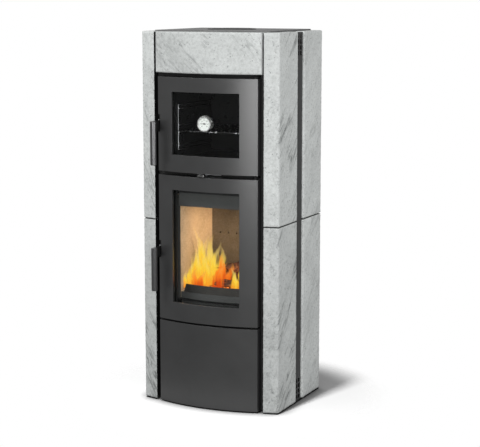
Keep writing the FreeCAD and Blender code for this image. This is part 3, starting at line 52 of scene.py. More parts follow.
SLOTS = {part["node"]: part["material_slot"] for part in frame["record"]["subparts"]}
MIX_FACTOR, MIX_A, MIX_B, MIX_RESULT = 0, 6, 7, 2
X, Y, Z = 0, 1, 2
UPRIGHT = math.radians(90)
WHITE = (1.0, 1.0, 1.0, 1.0)
BLACK = (0.0, 0.0, 0.0, 1.0)


def corners(name):
    """The low and high corner of a solid, to a tenth of a millimetre."""
    return [Vector(round(part, 4) for part in corner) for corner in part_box(name)]


# Wiring of materials

def add(tree, kind, values=None, **settings):
    """Adds a shader node, with its settings, and sets or links its inputs."""
    node = tree.nodes.new("ShaderNode" + kind)
    for name, value in settings.items():
        setattr(node, name, value)
    for name, value in (values or {}).items():
        feed(tree, node.inputs[name], value)
    return node


def feed(tree, socket, value):
    """Links a socket to an output of another node, or sets it to a constant."""
    if isinstance(value, bpy.types.NodeSocket):
        tree.links.new(value, socket)
    else:
        socket.default_value = value


def math_node(tree, operation, first, second=0.0, third=0.0, clamp=False):
    """One step of arithmetic on numbers or on outputs of other nodes."""
    values = {0: first, 1: second, 2: third}
    return add(tree, "Math", values, operation=operation, use_clamp=clamp).outputs[0]


def times(tree, first, second):
    """The product of two values."""
    return math_node(tree, "MULTIPLY", first, second)


def size_of(tree, value):
    """A value without its sign."""
    return math_node(tree, "ABSOLUTE", value)


def scaled(tree, value, start, end, low=0.0, high=1.0, curve="LINEAR"):
    """Carries a value from one range over to another, and keeps it within."""
    values = {"Value": value, "From Min": start, "From Max": end, "To Min": low, "To Max": high}
    return add(tree, "MapRange", values, interpolation_type=curve).outputs["Result"]


def ramp(tree, value, stops):
    """A colour ramp from pairs of a place and a colour or grey."""
    node = add(tree, "ValToRGB", {"Fac": value})
    elements = node.color_ramp.elements
    while len(elements) < len(stops):
        elements.new(1.0)
    for element, (place, colour) in zip(elements, stops):
        element.position = place
        element.color = rgba(colour if isinstance(colour, tuple) else grey(colour))
    return node.outputs["Color"]


def mix(tree, factor, first, second, blend="MIX"):
    """Blends two colours, each a constant or an output of another node."""
    values = {MIX_FACTOR: factor, MIX_A: rgba(first), MIX_B: rgba(second)}
    return add(tree, "Mix", values, data_type="RGBA", blend_type=blend).outputs[MIX_RESULT]


def grey(level):
    """A colour without a hue."""
    return (level, level, level)


def rgba(value):
    """Adds the alpha to a plain colour and leaves an output of a node as it is."""
    return (*value, 1.0) if isinstance(value, tuple) and len(value) == 3 else value


def coordinates(tree, offset=(0, 0, 0), turn=(0, 0, 0), scale=(1, 1, 1)):
    """Places on a piece in metres, moved, turned and stretched."""
    place = add(tree, "TexCoord").outputs["Object"]
    return mapped(tree, place, Location=offset, Rotation=turn, Scale=scale)


def mapped(tree, vector, **change):
    """Coordinates after a change of their location, rotation or scale."""
    return add(tree, "Mapping", {"Vector": vector, **change}).outputs["Vector"]


def part_of(tree, vector, axis):
    """One of the three parts of a vector."""
    return add(tree, "SeparateXYZ", {0: vector}).outputs[axis]


def place_along(tree, axis):
    """One of the three coordinates of a place on a piece."""
    return part_of(tree, add(tree, "TexCoord").outputs["Object"], axis)


def noise(tree, vector, scale, detail=2.0, roughness=0.5, distortion=0.0):
    """Even noise from 0 to 1; scale is its fineness per metre."""
    values = {"Vector": vector, "Scale": scale, "Detail": detail, "Roughness": roughness,
              "Distortion": distortion}
    return add(tree, "TexNoise", values).outputs["Fac"]


def warped(tree, vector, scale, amount):
    """Coordinates that are pushed about by noise, so that cells come out irregular."""
    push = add(tree, "TexNoise", {"Vector": vector, "Scale": scale, "Detail": 3.0}).outputs["Color"]
    values = {0: push, 1: (amount, amount, amount), 2: vector}
    return add(tree, "VectorMath", values, operation="MULTIPLY_ADD").outputs[0]


def shader_group(name, inputs, outputs):
    """An empty shader group with named sockets; returns it with its two ends."""
    group = bpy.data.node_groups.new(name, "ShaderNodeTree")
    for direction, sockets in (("INPUT", inputs), ("OUTPUT", outputs)):
        for label, kind in sockets:
            group.interface.new_socket(label, in_out=direction, socket_type="NodeSocket" + kind)
    entry = group.nodes.new("NodeGroupInput")
    exit_node = group.nodes.new("NodeGroupOutput")
    return group, entry.outputs, exit_node.inputs


def place_group(tree, group, values):
    """Puts a shader group into a material and returns its outputs."""
    node = tree.nodes.new("ShaderNodeGroup")
    node.node_tree = group
    for name, value in values.items():
        feed(tree, node.inputs[name], value)
    return node.outputs


def new_material(name):
    """A new material; returns it with its nodes and the inputs of its shader."""
    material = bpy.data.materials.new(name)
    material.use_nodes = True
    return material, material.node_tree, material.node_tree.nodes["Principled BSDF"].inputs


def bump(tree, height, strength, distance, normal=None):
    """A normal from a height; distance is the depth in metres."""
    values = {"Height": height, "Strength": strength, "Distance": distance}
    if normal:
        values["Normal"] = normal
    return add(tree, "Bump", values).outputs["Normal"]


def rounded(tree, radius):
    """A normal that rounds the sharp edges of sheet and stone."""
    return add(tree, "Bevel", {"Radius": radius}, samples=4).outputs["Normal"]


# Effects that several finishes share

EDGE_CONTRAST = 5.0
PAINT_TONE_SWING, PAINT_TONE_LEAST = 0.5, 0.75
PEBBLE_SHARE, CLOUD_SHARE = 0.4, 0.6


def make_edge_group():
    """Where a surface turns over an edge: 0 on the flat, 1 on the edge itself."""
    group, given, result = shader_group("edge_mask", [("Radius", "Float")], [("Edge", "Float")])
    soft = add(group, "Bevel", {"Radius": given["Radius"]}, samples=6).outputs["Normal"]
    hard = add(group, "NewGeometry").outputs["Normal"]
    along = add(group, "VectorMath", {0: soft, 1: hard}, operation="DOT_PRODUCT").outputs["Value"]
    turned = math_node(group, "SUBTRACT", 1.0, along)
    feed(group, result["Edge"], math_node(group, "MULTIPLY", turned, EDGE_CONTRAST, clamp=True))
    return group


def make_paint_group():
    """Sprayed heat-proof paint: a fine pebbled height, with slight clouds in tone and gloss."""
    group, given, result = shader_group(
        "sprayed_paint", [("Grain", "Float"), ("Clouds", "Float")],
        [("Tone", "Float"), ("Gloss", "Float"), ("Height", "Float")])
    place = coordinates(group)
    pebbles = noise(group, place, given["Grain"], detail=3.0, roughness=0.55)
    clouds = noise(group, place, given["Clouds"], detail=4.0, roughness=0.6)
    tone = math_node(group, "MULTIPLY_ADD", clouds, PAINT_TONE_SWING, PAINT_TONE_LEAST)
    gloss = math_node(group, "ADD", times(group, pebbles, PEBBLE_SHARE), times(group, clouds, CLOUD_SHARE))
    feed(group, result["Tone"], tone)
    feed(group, result["Gloss"], gloss)
    feed(group, result["Height"], pebbles)
    return group


STONE_GROUND = [(0.32, (0.475, 0.492, 0.485)), (0.68, (0.555, 0.575, 0.566))]
STONE_MOTTLE = [(0.32, 0.70), (0.50, 1.0), (0.68, 1.14)]
STONE_FLECKS = [(0.30, 0.66), (0.50, 1.0), (0.70, 1.20)]
VEIN_COLOUR = (0.14, 0.148, 0.145)
PIT_COLOUR = (0.17, 0.178, 0.175)
STREAK_STRETCH, BAND_STRETCH = (1.0, 1.0, 0.11), (1.0, 1.0, 0.25)
MOTTLE_SHARE, FLECK_SHARE, PIT_SHARE = 0.6, 0.5, 0.75
GRAIN_HEIGHT, PIT_DEPTH, VEIN_DEPTH = 0.5, 0.8, 0.5


def make_stone_group():
    """Soapstone: an even pale ground with fine grains, small dark pits and drawn-out streaks."""
    group, given, result = shader_group(
        "soapstone_figure", [("Offset", "Vector"), ("Turn", "Vector"), ("Veins", "Float")],
        [("Colour", "Color"), ("Pits", "Float"), ("Height", "Float")])
    moved = mapped(group, add(group, "TexCoord").outputs["Object"], Location=given["Offset"])
    turned = mapped(group, moved, Rotation=given["Turn"])
    drawn = mapped(group, turned, Scale=STREAK_STRETCH)

    clouds = noise(group, moved, scale=8.0, detail=5.0, roughness=0.6)
    mottle = ramp(group, noise(group, moved, scale=95.0, detail=4.0, roughness=0.65), STONE_MOTTLE)
    base = mix(group, MOTTLE_SHARE, ramp(group, clouds, STONE_GROUND), mottle, "MULTIPLY")

    streaks = noise(group, drawn, scale=85.0, detail=4.0, roughness=0.6, distortion=1.1)
    thin = ramp(group, streaks, [(0.49, 0.0), (0.64, 1.0)])
    band = noise(group, mapped(group, turned, Scale=BAND_STRETCH), scale=8.5, detail=4.0)
    veins = mix(group, 1.0, thin, ramp(group, band, [(0.49, 0.0), (0.60, 1.0)]), "MULTIPLY")
    smudge = ramp(group, band, [(0.54, 0.0), (0.72, 0.40)])
    veins = mix(group, 1.0, veins, smudge, "LIGHTEN")
    crack_noise = noise(group, drawn, scale=10.0, detail=6.0, roughness=0.6, distortion=0.4)
    away = size_of(group, math_node(group, "SUBTRACT", crack_noise, 0.5))
    rare = ramp(group, noise(group, moved, scale=7.0), [(0.50, 0.0), (0.58, 1.0)])
    cracks = mix(group, 1.0, ramp(group, away, [(0.0, 1.0), (0.016, 0.0)]), rare, "MULTIPLY")
    veins = mix(group, 1.0, veins, cracks, "LIGHTEN")
    base = mix(group, times(group, veins, given["Veins"]), base, VEIN_COLOUR)

    grains = noise(group, moved, scale=520.0, roughness=0.7)
    base = mix(group, FLECK_SHARE, base, ramp(group, grains, STONE_FLECKS), "MULTIPLY")

    torn = warped(group, moved, scale=130.0, amount=0.010)
    voronoi = add(group, "TexVoronoi", {"Vector": torn, "Scale": 120.0, "Randomness": 1.0})
    some = ramp(group, noise(group, moved, scale=55.0), [(0.55, 0.0), (0.60, 1.0)])
    spots = ramp(group, voronoi.outputs["Distance"], [(0.16, 1.0), (0.34, 0.0)])
    pits = mix(group, 1.0, spots, some, "MULTIPLY")
    base = mix(group, times(group, pits, PIT_SHARE), base, PIT_COLOUR)

    dents = math_node(group, "ADD", times(group, pits, PIT_DEPTH), times(group, veins, VEIN_DEPTH))
    height = math_node(group, "SUBTRACT", times(group, grains, GRAIN_HEIGHT), dents)
    feed(group, result["Colour"], base)
    feed(group, result["Pits"], pits)
    feed(group, result["Height"], height)
    return group


EDGE_GROUP = make_edge_group()
PAINT_GROUP = make_paint_group()
STONE_GROUP = make_stone_group()


# Finishes of the stove

BACKING_REACH, LINING_BLACK_DEPTH, BLACK_BAND_START = 0.0014, 0.001, 0.049
RAIL_LIT_REACH, RAIL_SHADE_REACH = 0.012, 0.09

JOINT_HEIGHT = corners("front_left_lower_stone")[1][Z]
INNER_SIDE = corners("front_right_lower_stone")[0][X] + BACKING_REACH
LINING_FRONT = corners("side_linings")[0][Y] + LINING_BLACK_DEPTH
BLACK_BAND_LINE = corners("airwash_deflector")[0][Z] + BLACK_BAND_START
RAIL_FRONT = corners("oven_side_rails")[0][Y]
# Depths behind the front of the rails over which a painted shade darkens them
RAIL_SHADE_DEPTHS = (RAIL_FRONT + RAIL_LIT_REACH, RAIL_FRONT + RAIL_SHADE_REACH)

# Pale stone edges: partly wear, partly a painted highlight along the chamfers
STONE_EDGE, STONE_WEAR_AND_HIGHLIGHT, STONE_WORN_AND_HIGHLIGHT = 0.004, 0.8, (0.72, 0.74, 0.73)
# Painted shade along the joint of the lower and upper stones: where it starts, where it ends and how dark it
# gets
JOINT_SHADE, JOINT_CLEAR, JOINT_DARKEST = 0.0016, 0.0034, 0.12
BACKED_BLACK = grey(0.006)
PAINT_GRAIN, PAINT_CLOUDS = 900.0, 9.0
PAINT_EDGE, PAINT_WEAR = 0.0016, 0.5
BLACK_BAND_COLOUR, BLACK_BAND_BLEND = grey(0.002), 0.003
REAR_SHADE_STEEL = (0.012, 0.011, 0.010)


def soapstone(name, offset, turn, front_veins, side_veins, tone, blackened):
    """Honed soapstone. Its pale edges are partly wear and partly a painted highlight, a painted shade
    darkens its joint, and its tone paints light and shade on each stone; its sides are black within the half
    width blackened.
    """
    material, tree, shader = new_material(name)
    sideways = part_of(tree, add(tree, "NewGeometry").outputs["Normal"], X)
    veins = scaled(tree, size_of(tree, sideways), 0.0, 1.0, front_veins, side_veins)
    figure = place_group(tree, STONE_GROUP, {"Offset": offset, "Turn": turn, "Veins": veins})
    edge = place_group(tree, EDGE_GROUP, {"Radius": STONE_EDGE})["Edge"]
    # Pale edges: wear and a painted highlight
    stone_with_painted_light = mix(tree, times(tree, edge, STONE_WEAR_AND_HIGHLIGHT), figure["Colour"], STONE_WORN_AND_HIGHLIGHT)
    # A painted shade in the joint between the lower and upper stones
    joint = size_of(tree, math_node(tree, "SUBTRACT", place_along(tree, Z), JOINT_HEIGHT))
    painted_joint_shade = scaled(tree, joint, JOINT_SHADE, JOINT_CLEAR, JOINT_DARKEST, 1.0)
    stone_with_painted_light = mix(tree, 1.0, stone_with_painted_light, painted_joint_shade, "MULTIPLY")
    # Painted light and shade: the tone darkens or lightens each stone as the light falls on it
    stone_with_painted_light = mix(tree, 1.0, stone_with_painted_light, grey(tone), "MULTIPLY")
    inner = math_node(tree, "LESS_THAN", size_of(tree, place_along(tree, X)), blackened)
    feed(tree, shader["Base Color"], mix(tree, inner, stone_with_painted_light, BACKED_BLACK))
    feed(tree, shader["Roughness"], ramp(tree, figure["Pits"], [(0.0, 0.55), (1.0, 0.85)]))
    shader["Specular IOR Level"].default_value = 0.3
    smooth = rounded(tree, radius=0.0015)
    normal = bump(tree, figure["Height"], strength=0.35, distance=0.0006, normal=smooth)
    feed(tree, shader["Normal"], normal)
    return material


def painted(name, colour, gloss, edge_colour=None, specular=0.5, metallic=0.0, black_from=None):
    """Heat-proof paint on sheet steel, with a pair of limits for its roughness and black above a height."""
    material, tree, shader = new_material(name)
    coat = place_group(tree, PAINT_GROUP, {"Grain": PAINT_GRAIN, "Clouds": PAINT_CLOUDS})
    shade = mix(tree, 1.0, colour, coat["Tone"], "MULTIPLY")
    if edge_colour:
        edge = place_group(tree, EDGE_GROUP, {"Radius": PAINT_EDGE})["Edge"]
        shade = mix(tree, times(tree, edge, PAINT_WEAR), shade, edge_colour)
    if black_from:
        black_band = scaled(tree, place_along(tree, Z), black_from, black_from + BLACK_BAND_BLEND)
        shade = mix(tree, black_band, shade, BLACK_BAND_COLOUR)
    feed(tree, shader["Base Color"], shade)
    feed(tree, shader["Roughness"], scaled(tree, coat["Gloss"], 0.0, 1.0, *gloss))
    shader["Specular IOR Level"].default_value = specular
    shader["Metallic"].default_value = metallic
    smooth = rounded(tree, radius=0.0012)
    normal = bump(tree, coat["Height"], strength=0.10, distance=0.0002, normal=smooth)
    feed(tree, shader["Normal"], normal)
    return material


def steel(name, colour, gloss, stains_and_glints=(25.0, 0.3, 0.7, 0.82), shaded_depths=None):
    """Steel wire and small parts. Gloss is the pair of limits for the roughness, stains_and_glints are the
    fineness, the limits and the shade of the dull spots, whose bright spots are painted glints where that
    shade is low, and shaded_depths is the pair of depths over which a painted shade darkens it towards the
    back of the oven."""
    material, tree, shader = new_material(name)
    place = coordinates(tree)
    brush = noise(tree, place, scale=60.0, detail=4.0, roughness=0.6)
    fineness, dull_below, bright_above, shade = stains_and_glints
    # Bright spots among dull ones: stains, and where the dull shade is low, painted glints
    dull_colour = tuple(shade * part for part in colour)
    spots = noise(tree, place, fineness, detail=3.0)
    tint = ramp(tree, spots, [(dull_below, dull_colour), (bright_above, colour)])
    # A painted shade: the steel darkens towards the back of the oven, where little light falls
    if shaded_depths:
        tint = mix(tree, scaled(tree, part_of(tree, place, Y), *shaded_depths), tint, REAR_SHADE_STEEL)
    feed(tree, shader["Base Color"], tint)
    shader["Metallic"].default_value = 1.0
    feed(tree, shader["Roughness"], scaled(tree, brush, 0.0, 1.0, *gloss))
    smooth = rounded(tree, radius=0.0006)
    feed(tree, shader["Normal"], bump(tree, brush, strength=0.06, distance=0.0002, normal=smooth))
    return material


def enamel(name):
    """Black oven enamel with a sparse pale fleck."""
    material, tree, shader = new_material(name)
    place = coordinates(tree)
    flecks = ramp(tree, noise(tree, place, scale=700.0, detail=1.0), [(0.70, 0.0), (0.78, 1.0)])
    feed(tree, shader["Base Color"], mix(tree, flecks, (0.009, 0.009, 0.0095), grey(0.04)))
    ripple = noise(tree, place, scale=45.0)
    feed(tree, shader["Roughness"], ramp(tree, ripple, [(0.3, 0.26), (0.7, 0.38)]))
    shader["Specular IOR Level"].default_value = 0.28
    feed(tree, shader["Normal"], bump(tree, ripple, strength=0.05, distance=0.001))
    return material


BOARD_FLAKES = [(0.0, (0.56, 0.44, 0.30)), (0.6, (0.66, 0.54, 0.39)), (1.0, (0.74, 0.63, 0.47))]
BOARD_BLACK, BOARD_BLEND = (0.045, 0.044, 0.043), 0.004
SMOKED_SHARE = 0.72


def vermiculite(name, brightness, front=-1.0):
    """Pressed vermiculite board in gold flakes, dimmed by smoke, and black before the front plane."""
    material, tree, shader = new_material(name)
    place = coordinates(tree)
    cells = add(tree, "TexVoronoi", {"Vector": place, "Scale": 330.0}, feature="F1").outputs["Color"]
    flakes = add(tree, "SeparateColor", {0: cells}).outputs[0]
    clouds = noise(tree, place, scale=9.0, detail=4.0, roughness=0.6)
    smoked = ramp(tree, clouds, [(0.30, SMOKED_SHARE * brightness), (0.62, brightness)])
    board = mix(tree, 1.0, ramp(tree, flakes, BOARD_FLAKES), smoked, "MULTIPLY")
    black_band = scaled(tree, part_of(tree, place, Y), front, front + BOARD_BLEND, 1.0, 0.0)
    feed(tree, shader["Base Color"], mix(tree, black_band, board, BOARD_BLACK))
    feed(tree, shader["Roughness"], ramp(tree, flakes, [(0.0, 0.8), (1.0, 0.95)]))
    shader["Specular IOR Level"].default_value = 0.15
    feed(tree, shader["Normal"], bump(tree, flakes, strength=0.2, distance=0.0006))
    return material


def cast_iron(name):
    """Sand-cast iron with a trace of rust."""
    material, tree, shader = new_material(name)
    place = coordinates(tree)
    sand = noise(tree, place, scale=380.0, detail=4.0, roughness=0.65)
    rust = noise(tree, place, scale=14.0, detail=4.0)
    shades = [(0.35, (0.030, 0.029, 0.028)), (0.75, (0.062, 0.052, 0.045))]
    feed(tree, shader["Base Color"], ramp(tree, rust, shades))
    feed(tree, shader["Roughness"], ramp(tree, sand, [(0.3, 0.5), (0.7, 0.75)]))
    shader["Metallic"].default_value = 0.3
    smooth = rounded(tree, radius=0.001)
    feed(tree, shader["Normal"], bump(tree, sand, strength=0.35, distance=0.0005, normal=smooth))
    return material


def rope(name):
    """Braided glass-fibre rope: two sets of strands that cross on the slant."""
    material, tree, shader = new_material(name)
    strands = []
    for lean in (45, -45):
        turned = coordinates(tree, turn=(0, math.radians(lean), 0))
        values = {"Vector": turned, "Scale": 95.0, "Distortion": 0.6, "Detail": 1.0}
        strands.append(add(tree, "TexWave", values, bands_direction="X").outputs["Fac"])
    braid = math_node(tree, "MAXIMUM", *strands)
    feed(tree, shader["Base Color"], ramp(tree, braid, [(0.2, 0.018), (0.9, (0.075, 0.073, 0.07))]))
    feed(tree, shader["Roughness"], ramp(tree, braid, [(0.0, 0.95), (1.0, 0.8)]))
    feed(tree, shader["Normal"], bump(tree, braid, strength=0.7, distance=0.0009))
    return material


def window_glass(name):
    """Clear heat-proof glass; light reaches through it to what lies behind."""
    material, tree, shader = new_material(name)
    haze = noise(tree, coordinates(tree), scale=16.0, detail=4.0, roughness=0.6)
    feed(tree, shader["Roughness"], ramp(tree, haze, [(0.4, 0.0), (0.9, 0.03)]))
    shader["Base Color"].default_value = (0.97, 0.98, 0.975, 1.0)
    shader["Transmission Weight"].default_value = 1.0
    shader["IOR"].default_value = 1.22
    principled = tree.nodes["Principled BSDF"]
    clear = add(tree, "BsdfTransparent", {"Color": (0.93, 0.95, 0.94, 1.0)}).outputs[0]
    path = add(tree, "LightPath").outputs
    passing = math_node(tree, "MAXIMUM", path["Is Shadow Ray"], path["Is Diffuse Ray"])
    blend = add(tree, "MixShader", {0: passing, 1: principled.outputs[0], 2: clear}).outputs[0]
    feed(tree, tree.nodes["Material Output"].inputs["Surface"], blend)
    return material


DIAL_LOW, DIAL_HIGH = (Vector(corner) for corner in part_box("thermometer_dial"))
DIAL_MIDDLE = (DIAL_LOW + DIAL_HIGH) / 2
SCALE_SWEEP = math.radians(270)
SCALE_END = SCALE_SWEEP / 2 + math.radians(1)
FINE_STEPS, FINE_INNER, FINE_HALF_WIDTH = 36, 0.0198, 0.00014
BOLD_STEPS, BOLD_INNER, BOLD_HALF_WIDTH = 6, 0.0178, 0.00030
MARKS_OUTER = 0.0222
RING_RADIUS, RING_HALF_WIDTH = 0.0224, 0.0002
PRINT_BLACK = grey(0.02)


def scale_marks(tree, angle, radius, steps, inner, half_width):
    """A mask of marks that stand evenly round the scale of the dial."""
    turns = times(tree, angle, steps / SCALE_SWEEP)
    off = size_of(tree, math_node(tree, "SUBTRACT", turns, math_node(tree, "ROUND", turns)))
    arc = times(tree, off, SCALE_SWEEP / steps)
    thin = math_node(tree, "LESS_THAN", times(tree, arc, radius), half_width)
    beyond = math_node(tree, "GREATER_THAN", radius, inner)
    within = math_node(tree, "LESS_THAN", radius, MARKS_OUTER)
    return times(tree, thin, times(tree, beyond, within))


def dial_face(name):
    """White dial with a black scale of short and long marks over three quarters of a turn."""
    material, tree, shader = new_material(name)
    place = coordinates(tree, offset=tuple(-DIAL_MIDDLE))
    across, up = part_of(tree, place, X), part_of(tree, place, Z)
    flat = add(tree, "CombineXYZ", {0: across, 1: up}).outputs[0]
    radius = add(tree, "VectorMath", {0: flat}, operation="LENGTH").outputs["Value"]
    angle = math_node(tree, "ARCTAN2", across, up)
    on_scale = math_node(tree, "LESS_THAN", size_of(tree, angle), SCALE_END)
    fine = scale_marks(tree, angle, radius, FINE_STEPS, FINE_INNER, FINE_HALF_WIDTH)
    bold = scale_marks(tree, angle, radius, BOLD_STEPS, BOLD_INNER, BOLD_HALF_WIDTH)
    off_ring = size_of(tree, math_node(tree, "SUBTRACT", radius, RING_RADIUS))
    ring = math_node(tree, "LESS_THAN", off_ring, RING_HALF_WIDTH)
    drawn = math_node(tree, "MAXIMUM", ring, math_node(tree, "MAXIMUM", fine, bold))
    printed = times(tree, drawn, on_scale)
    shades = [(0.3, (0.80, 0.80, 0.78)), (0.7, (0.88, 0.88, 0.86))]
    paper = ramp(tree, noise(tree, place, scale=150.0, detail=3.0), shades)
    feed(tree, shader["Base Color"], mix(tree, printed, paper, PRINT_BLACK))
    feed(tree, shader["Roughness"], ramp(tree, printed, [(0.0, 0.55), (1.0, 0.4)]))
    return material


def ink(name):
    """Matt black print and the paint of the needle."""
    material, tree, shader = new_material(name)
    grain = noise(tree, coordinates(tree), scale=900.0)
    feed(tree, shader["Base Color"], ramp(tree, grain, [(0.3, 0.012), (0.7, 0.03)]))
    feed(tree, shader["Roughness"], ramp(tree, grain, [(0.3, 0.4), (0.7, 0.55)]))
    return material


# Of each stone: offset and slant in degrees of its figure, veins on the front and on the sides, tone; the
# tone paints light and shade, darker on the lower stones and lighter on the rear ones
STONE_PLACES = {
    "front_left_lower_stone": ((0.3, 0.9, 1.6), (0, 30, 0), 1.0, 0.60, 0.94),
    "front_left_upper_stone": ((1.7, 0.4, 0.2), (0, 24, 0), 0.95, 0.60, 1.02),
    "front_right_lower_stone": ((2.6, 1.3, 0.5), (42, 0, 0), 0.28, 0.90, 0.91),
    "front_right_upper_stone": ((3.9, 2.2, 0.8), (44, 0, 0), 0.25, 0.95, 0.98),
    "rear_stones": ((5.1, 0.7, 2.4), (40, 0, 0), 0.40, 0.40, 1.05),
    "lintel_stone": ((6.4, 3.1, 0.6), (0, 49, 0), 0.50, 0.35, 0.97),
}

# Kind, colour, limits of the roughness and further settings of each finish
FINISH_KINDS = {
    "dark_paint": (painted, grey(0.006), (0.6, 0.8), {"specular": 0.2}),
    "door_paint": (painted, (0.0290, 0.0293, 0.0296), (0.30, 0.38),
                   {"edge_colour": grey(0.07), "specular": 0.8}),
    "channel_paint": (painted, grey(0.030), (0.45, 0.6), {"edge_colour": grey(0.07)}),
    "handle_paint": (painted, (0.12, 0.12, 0.123), (0.24, 0.34), {"specular": 1.0, "metallic": 0.8}),
    "frame_paint": (painted, grey(0.018), (0.5, 0.65), {"specular": 0.35}),
    "deflector_paint": (painted, grey(0.062), (0.5, 0.65), {"black_from": BLACK_BAND_LINE}),
    "top_paint": (painted, grey(0.17), (0.45, 0.6), {"edge_colour": grey(0.08)}),
    "collar_steel": (painted, grey(0.10), (0.4, 0.55), {}),
    "zinc_steel": (steel, (0.55, 0.56, 0.57), (0.35, 0.5), {}),
    "chrome_wire": (steel, (0.75, 0.75, 0.76), (0.25, 0.38), {"shaded_depths": RAIL_SHADE_DEPTHS}),
    # The rack wire and the thermometer case: mostly dull steel whose bright spots are painted glints
    "rack_wire": (steel, (0.36, 0.36, 0.37), (0.30, 0.42), {"stains_and_glints": (62.0, 0.54, 0.62, 0.12)}),
    "case_chrome": (steel, (0.90, 0.90, 0.89), (0.26, 0.36), {"stains_and_glints": (120.0, 0.44, 0.52, 0.22)}),
    "knob_steel": (steel, grey(0.20), (0.30, 0.42), {}),
}

# Solids whose finish is not the one of their slot
NODE_FINISHES = {
    "rear_lining": "dark_brick",
    "baffle_plate": "dark_brick",
    "airwash_deflector": "deflector_paint",
    "firebox_sill": "deflector_paint",
    "top_plate": "top_paint",
    "ash_pan": "channel_paint",
    "front_frame": "frame_paint",
    "hinge_pins": "frame_paint",
    "oven_rack": "rack_wire",
    "thermometer_case": "case_chrome",
    "air_knob": "knob_steel",
}


def make_finishes():
    """All finishes of the solids, by name."""
    finishes = {name: kind(name, colour, gloss, **more)
                for name, (kind, colour, gloss, more) in FINISH_KINDS.items()}
    for name, kind in (("oven_enamel", enamel), ("cast_iron", cast_iron), ("rope", rope),
                       ("glass", window_glass), ("dial_white", dial_face), ("needle_black", ink)):
        finishes[name] = kind(name)
    finishes["firebrick"] = vermiculite("firebrick", brightness=1.0, front=LINING_FRONT)
    # The rear lining and the baffle take a darker copy of the lining board
    finishes["dark_brick"] = vermiculite("dark_brick", brightness=0.25)
    for name, (offset, turn, front_veins, side_veins, tone) in STONE_PLACES.items():
        slant = tuple(math.radians(part) for part in turn)
        blackened = INNER_SIDE if name.startswith("front") else 0.0
        finishes[name] = soapstone(name, offset, slant, front_veins, side_veins, tone, blackened)
    return finishes


def finish_cad_nodes():
    """Gives every solid of the stove its finish."""
    for name, node in frame["nodes"].items():
        own = name if name in STONE_PLACES else SLOTS[name]
        finish = FINISHES[NODE_FINISHES.get(name, own)]
        if node.material_slots:
            for slot in node.material_slots:
                slot.material = finish
        else:
            node.data.materials.append(finish)


FINISHES = make_finishes()
finish_cad_nodes()


# Shaping of pieces

def pick(piece, test):
    """Selects, in edit mode, the points of a piece that pass a test."""
    sketch = bmesh.from_edit_mesh(piece.data)
    for point in sketch.verts:
        point.select = test(point.co)
    sketch.select_flush_mode()
    bmesh.update_edit_mesh(piece.data)


def choose(piece):
    """Makes a piece the only one that is selected."""
    bpy.ops.object.select_all(action="DESELECT")
    piece.select_set(True)
    bpy.context.view_layer.objects.active = piece


def start_edit(piece):
    """Opens a piece for editing by its points."""
    choose(piece)
    bpy.ops.object.mode_set(mode="EDIT")
    bpy.context.tool_settings.mesh_select_mode = (True, False, False)


def end_edit():
    """Closes the piece that is being edited."""
    bpy.ops.object.mode_set(mode="OBJECT")


def settle(piece, name, material, body="stove"):
    """Names a new piece, puts its place into its mesh and gives it its finish and body."""
    choose(piece)
    bpy.ops.object.transform_apply(location=True, rotation=True, scale=True)
    piece.name = piece.data.name = name
    piece.data.materials.clear()
    piece.data.materials.append(material)
    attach(piece, body)


def remesh(piece, size):
    """Makes a piece of even small faces, so that it can be roughened."""
    piece.modifiers.new("grain", "REMESH").voxel_size = size
    bpy.ops.object.modifier_apply(modifier="grain")


def displace(piece, kind, size, strength, level=0.5, group=""):
    """Roughens a piece along its normals with a cloud or cell texture."""
    texture = bpy.data.textures.new(piece.name + "_" + kind.lower(), kind)
    texture.noise_scale = size
    modifier = piece.modifiers.new(texture.name, "DISPLACE")
    modifier.texture = texture
    modifier.texture_coords = "LOCAL"
    modifier.strength = strength
    modifier.mid_level = level
    modifier.vertex_group = group
    bpy.context.view_layer.objects.active = piece
    bpy.ops.object.modifier_apply(modifier=modifier.name)


# The stones

STONE_GRAIN, REAR_GRAIN = 0.0026, 0.0037
JOINT_GAP = 0.0006
WELD = 0.00001
EDGE_TURN = 0.96
FACE_LUMPS, FACE_DEPTH, FACE_LEVEL = 0.045, 0.0008, 1.0
CHIP_SIZE, CHIP_DEPTH, CHIP_LEVEL = 0.010, 0.0022, 0.8
SMOOTH_ANGLE = math.radians(50)


def mark_edges(stone):
    """A vertex group of the points where the surface turns over an edge, and of their neighbours."""
    points = stone.data.vertices
    sharp = set()
    for edge in stone.data.edges:
        first, second = edge.vertices
        if points[first].normal.dot(points[second].normal) < EDGE_TURN:
            sharp.update((first, second))
    group = stone.vertex_groups.new(name="edges")
    group.add(list(sharp), 1.0, "REPLACE")


def sawn_course(block, level=None, upward=True):
    """A copy of a sawn block, or of its course above or below a level if one is given."""
    stone = bpy.data.objects.new("course", block.data.copy())
    bpy.context.scene.collection.objects.link(stone)
    stone.data.transform(block.matrix_world)
    start_edit(stone)
    bpy.ops.mesh.select_all(action="SELECT")
    bpy.ops.mesh.remove_doubles(threshold=WELD)
    if level:
        bpy.ops.mesh.select_all(action="SELECT")
        bpy.ops.mesh.bisect(plane_co=(0.0, 0.0, level), plane_no=(0.0, 0.0, 1.0), use_fill=True,
                            clear_inner=upward, clear_outer=not upward)
    end_edit()
    remesh(stone, REAR_GRAIN if level else STONE_GRAIN)
    return stone


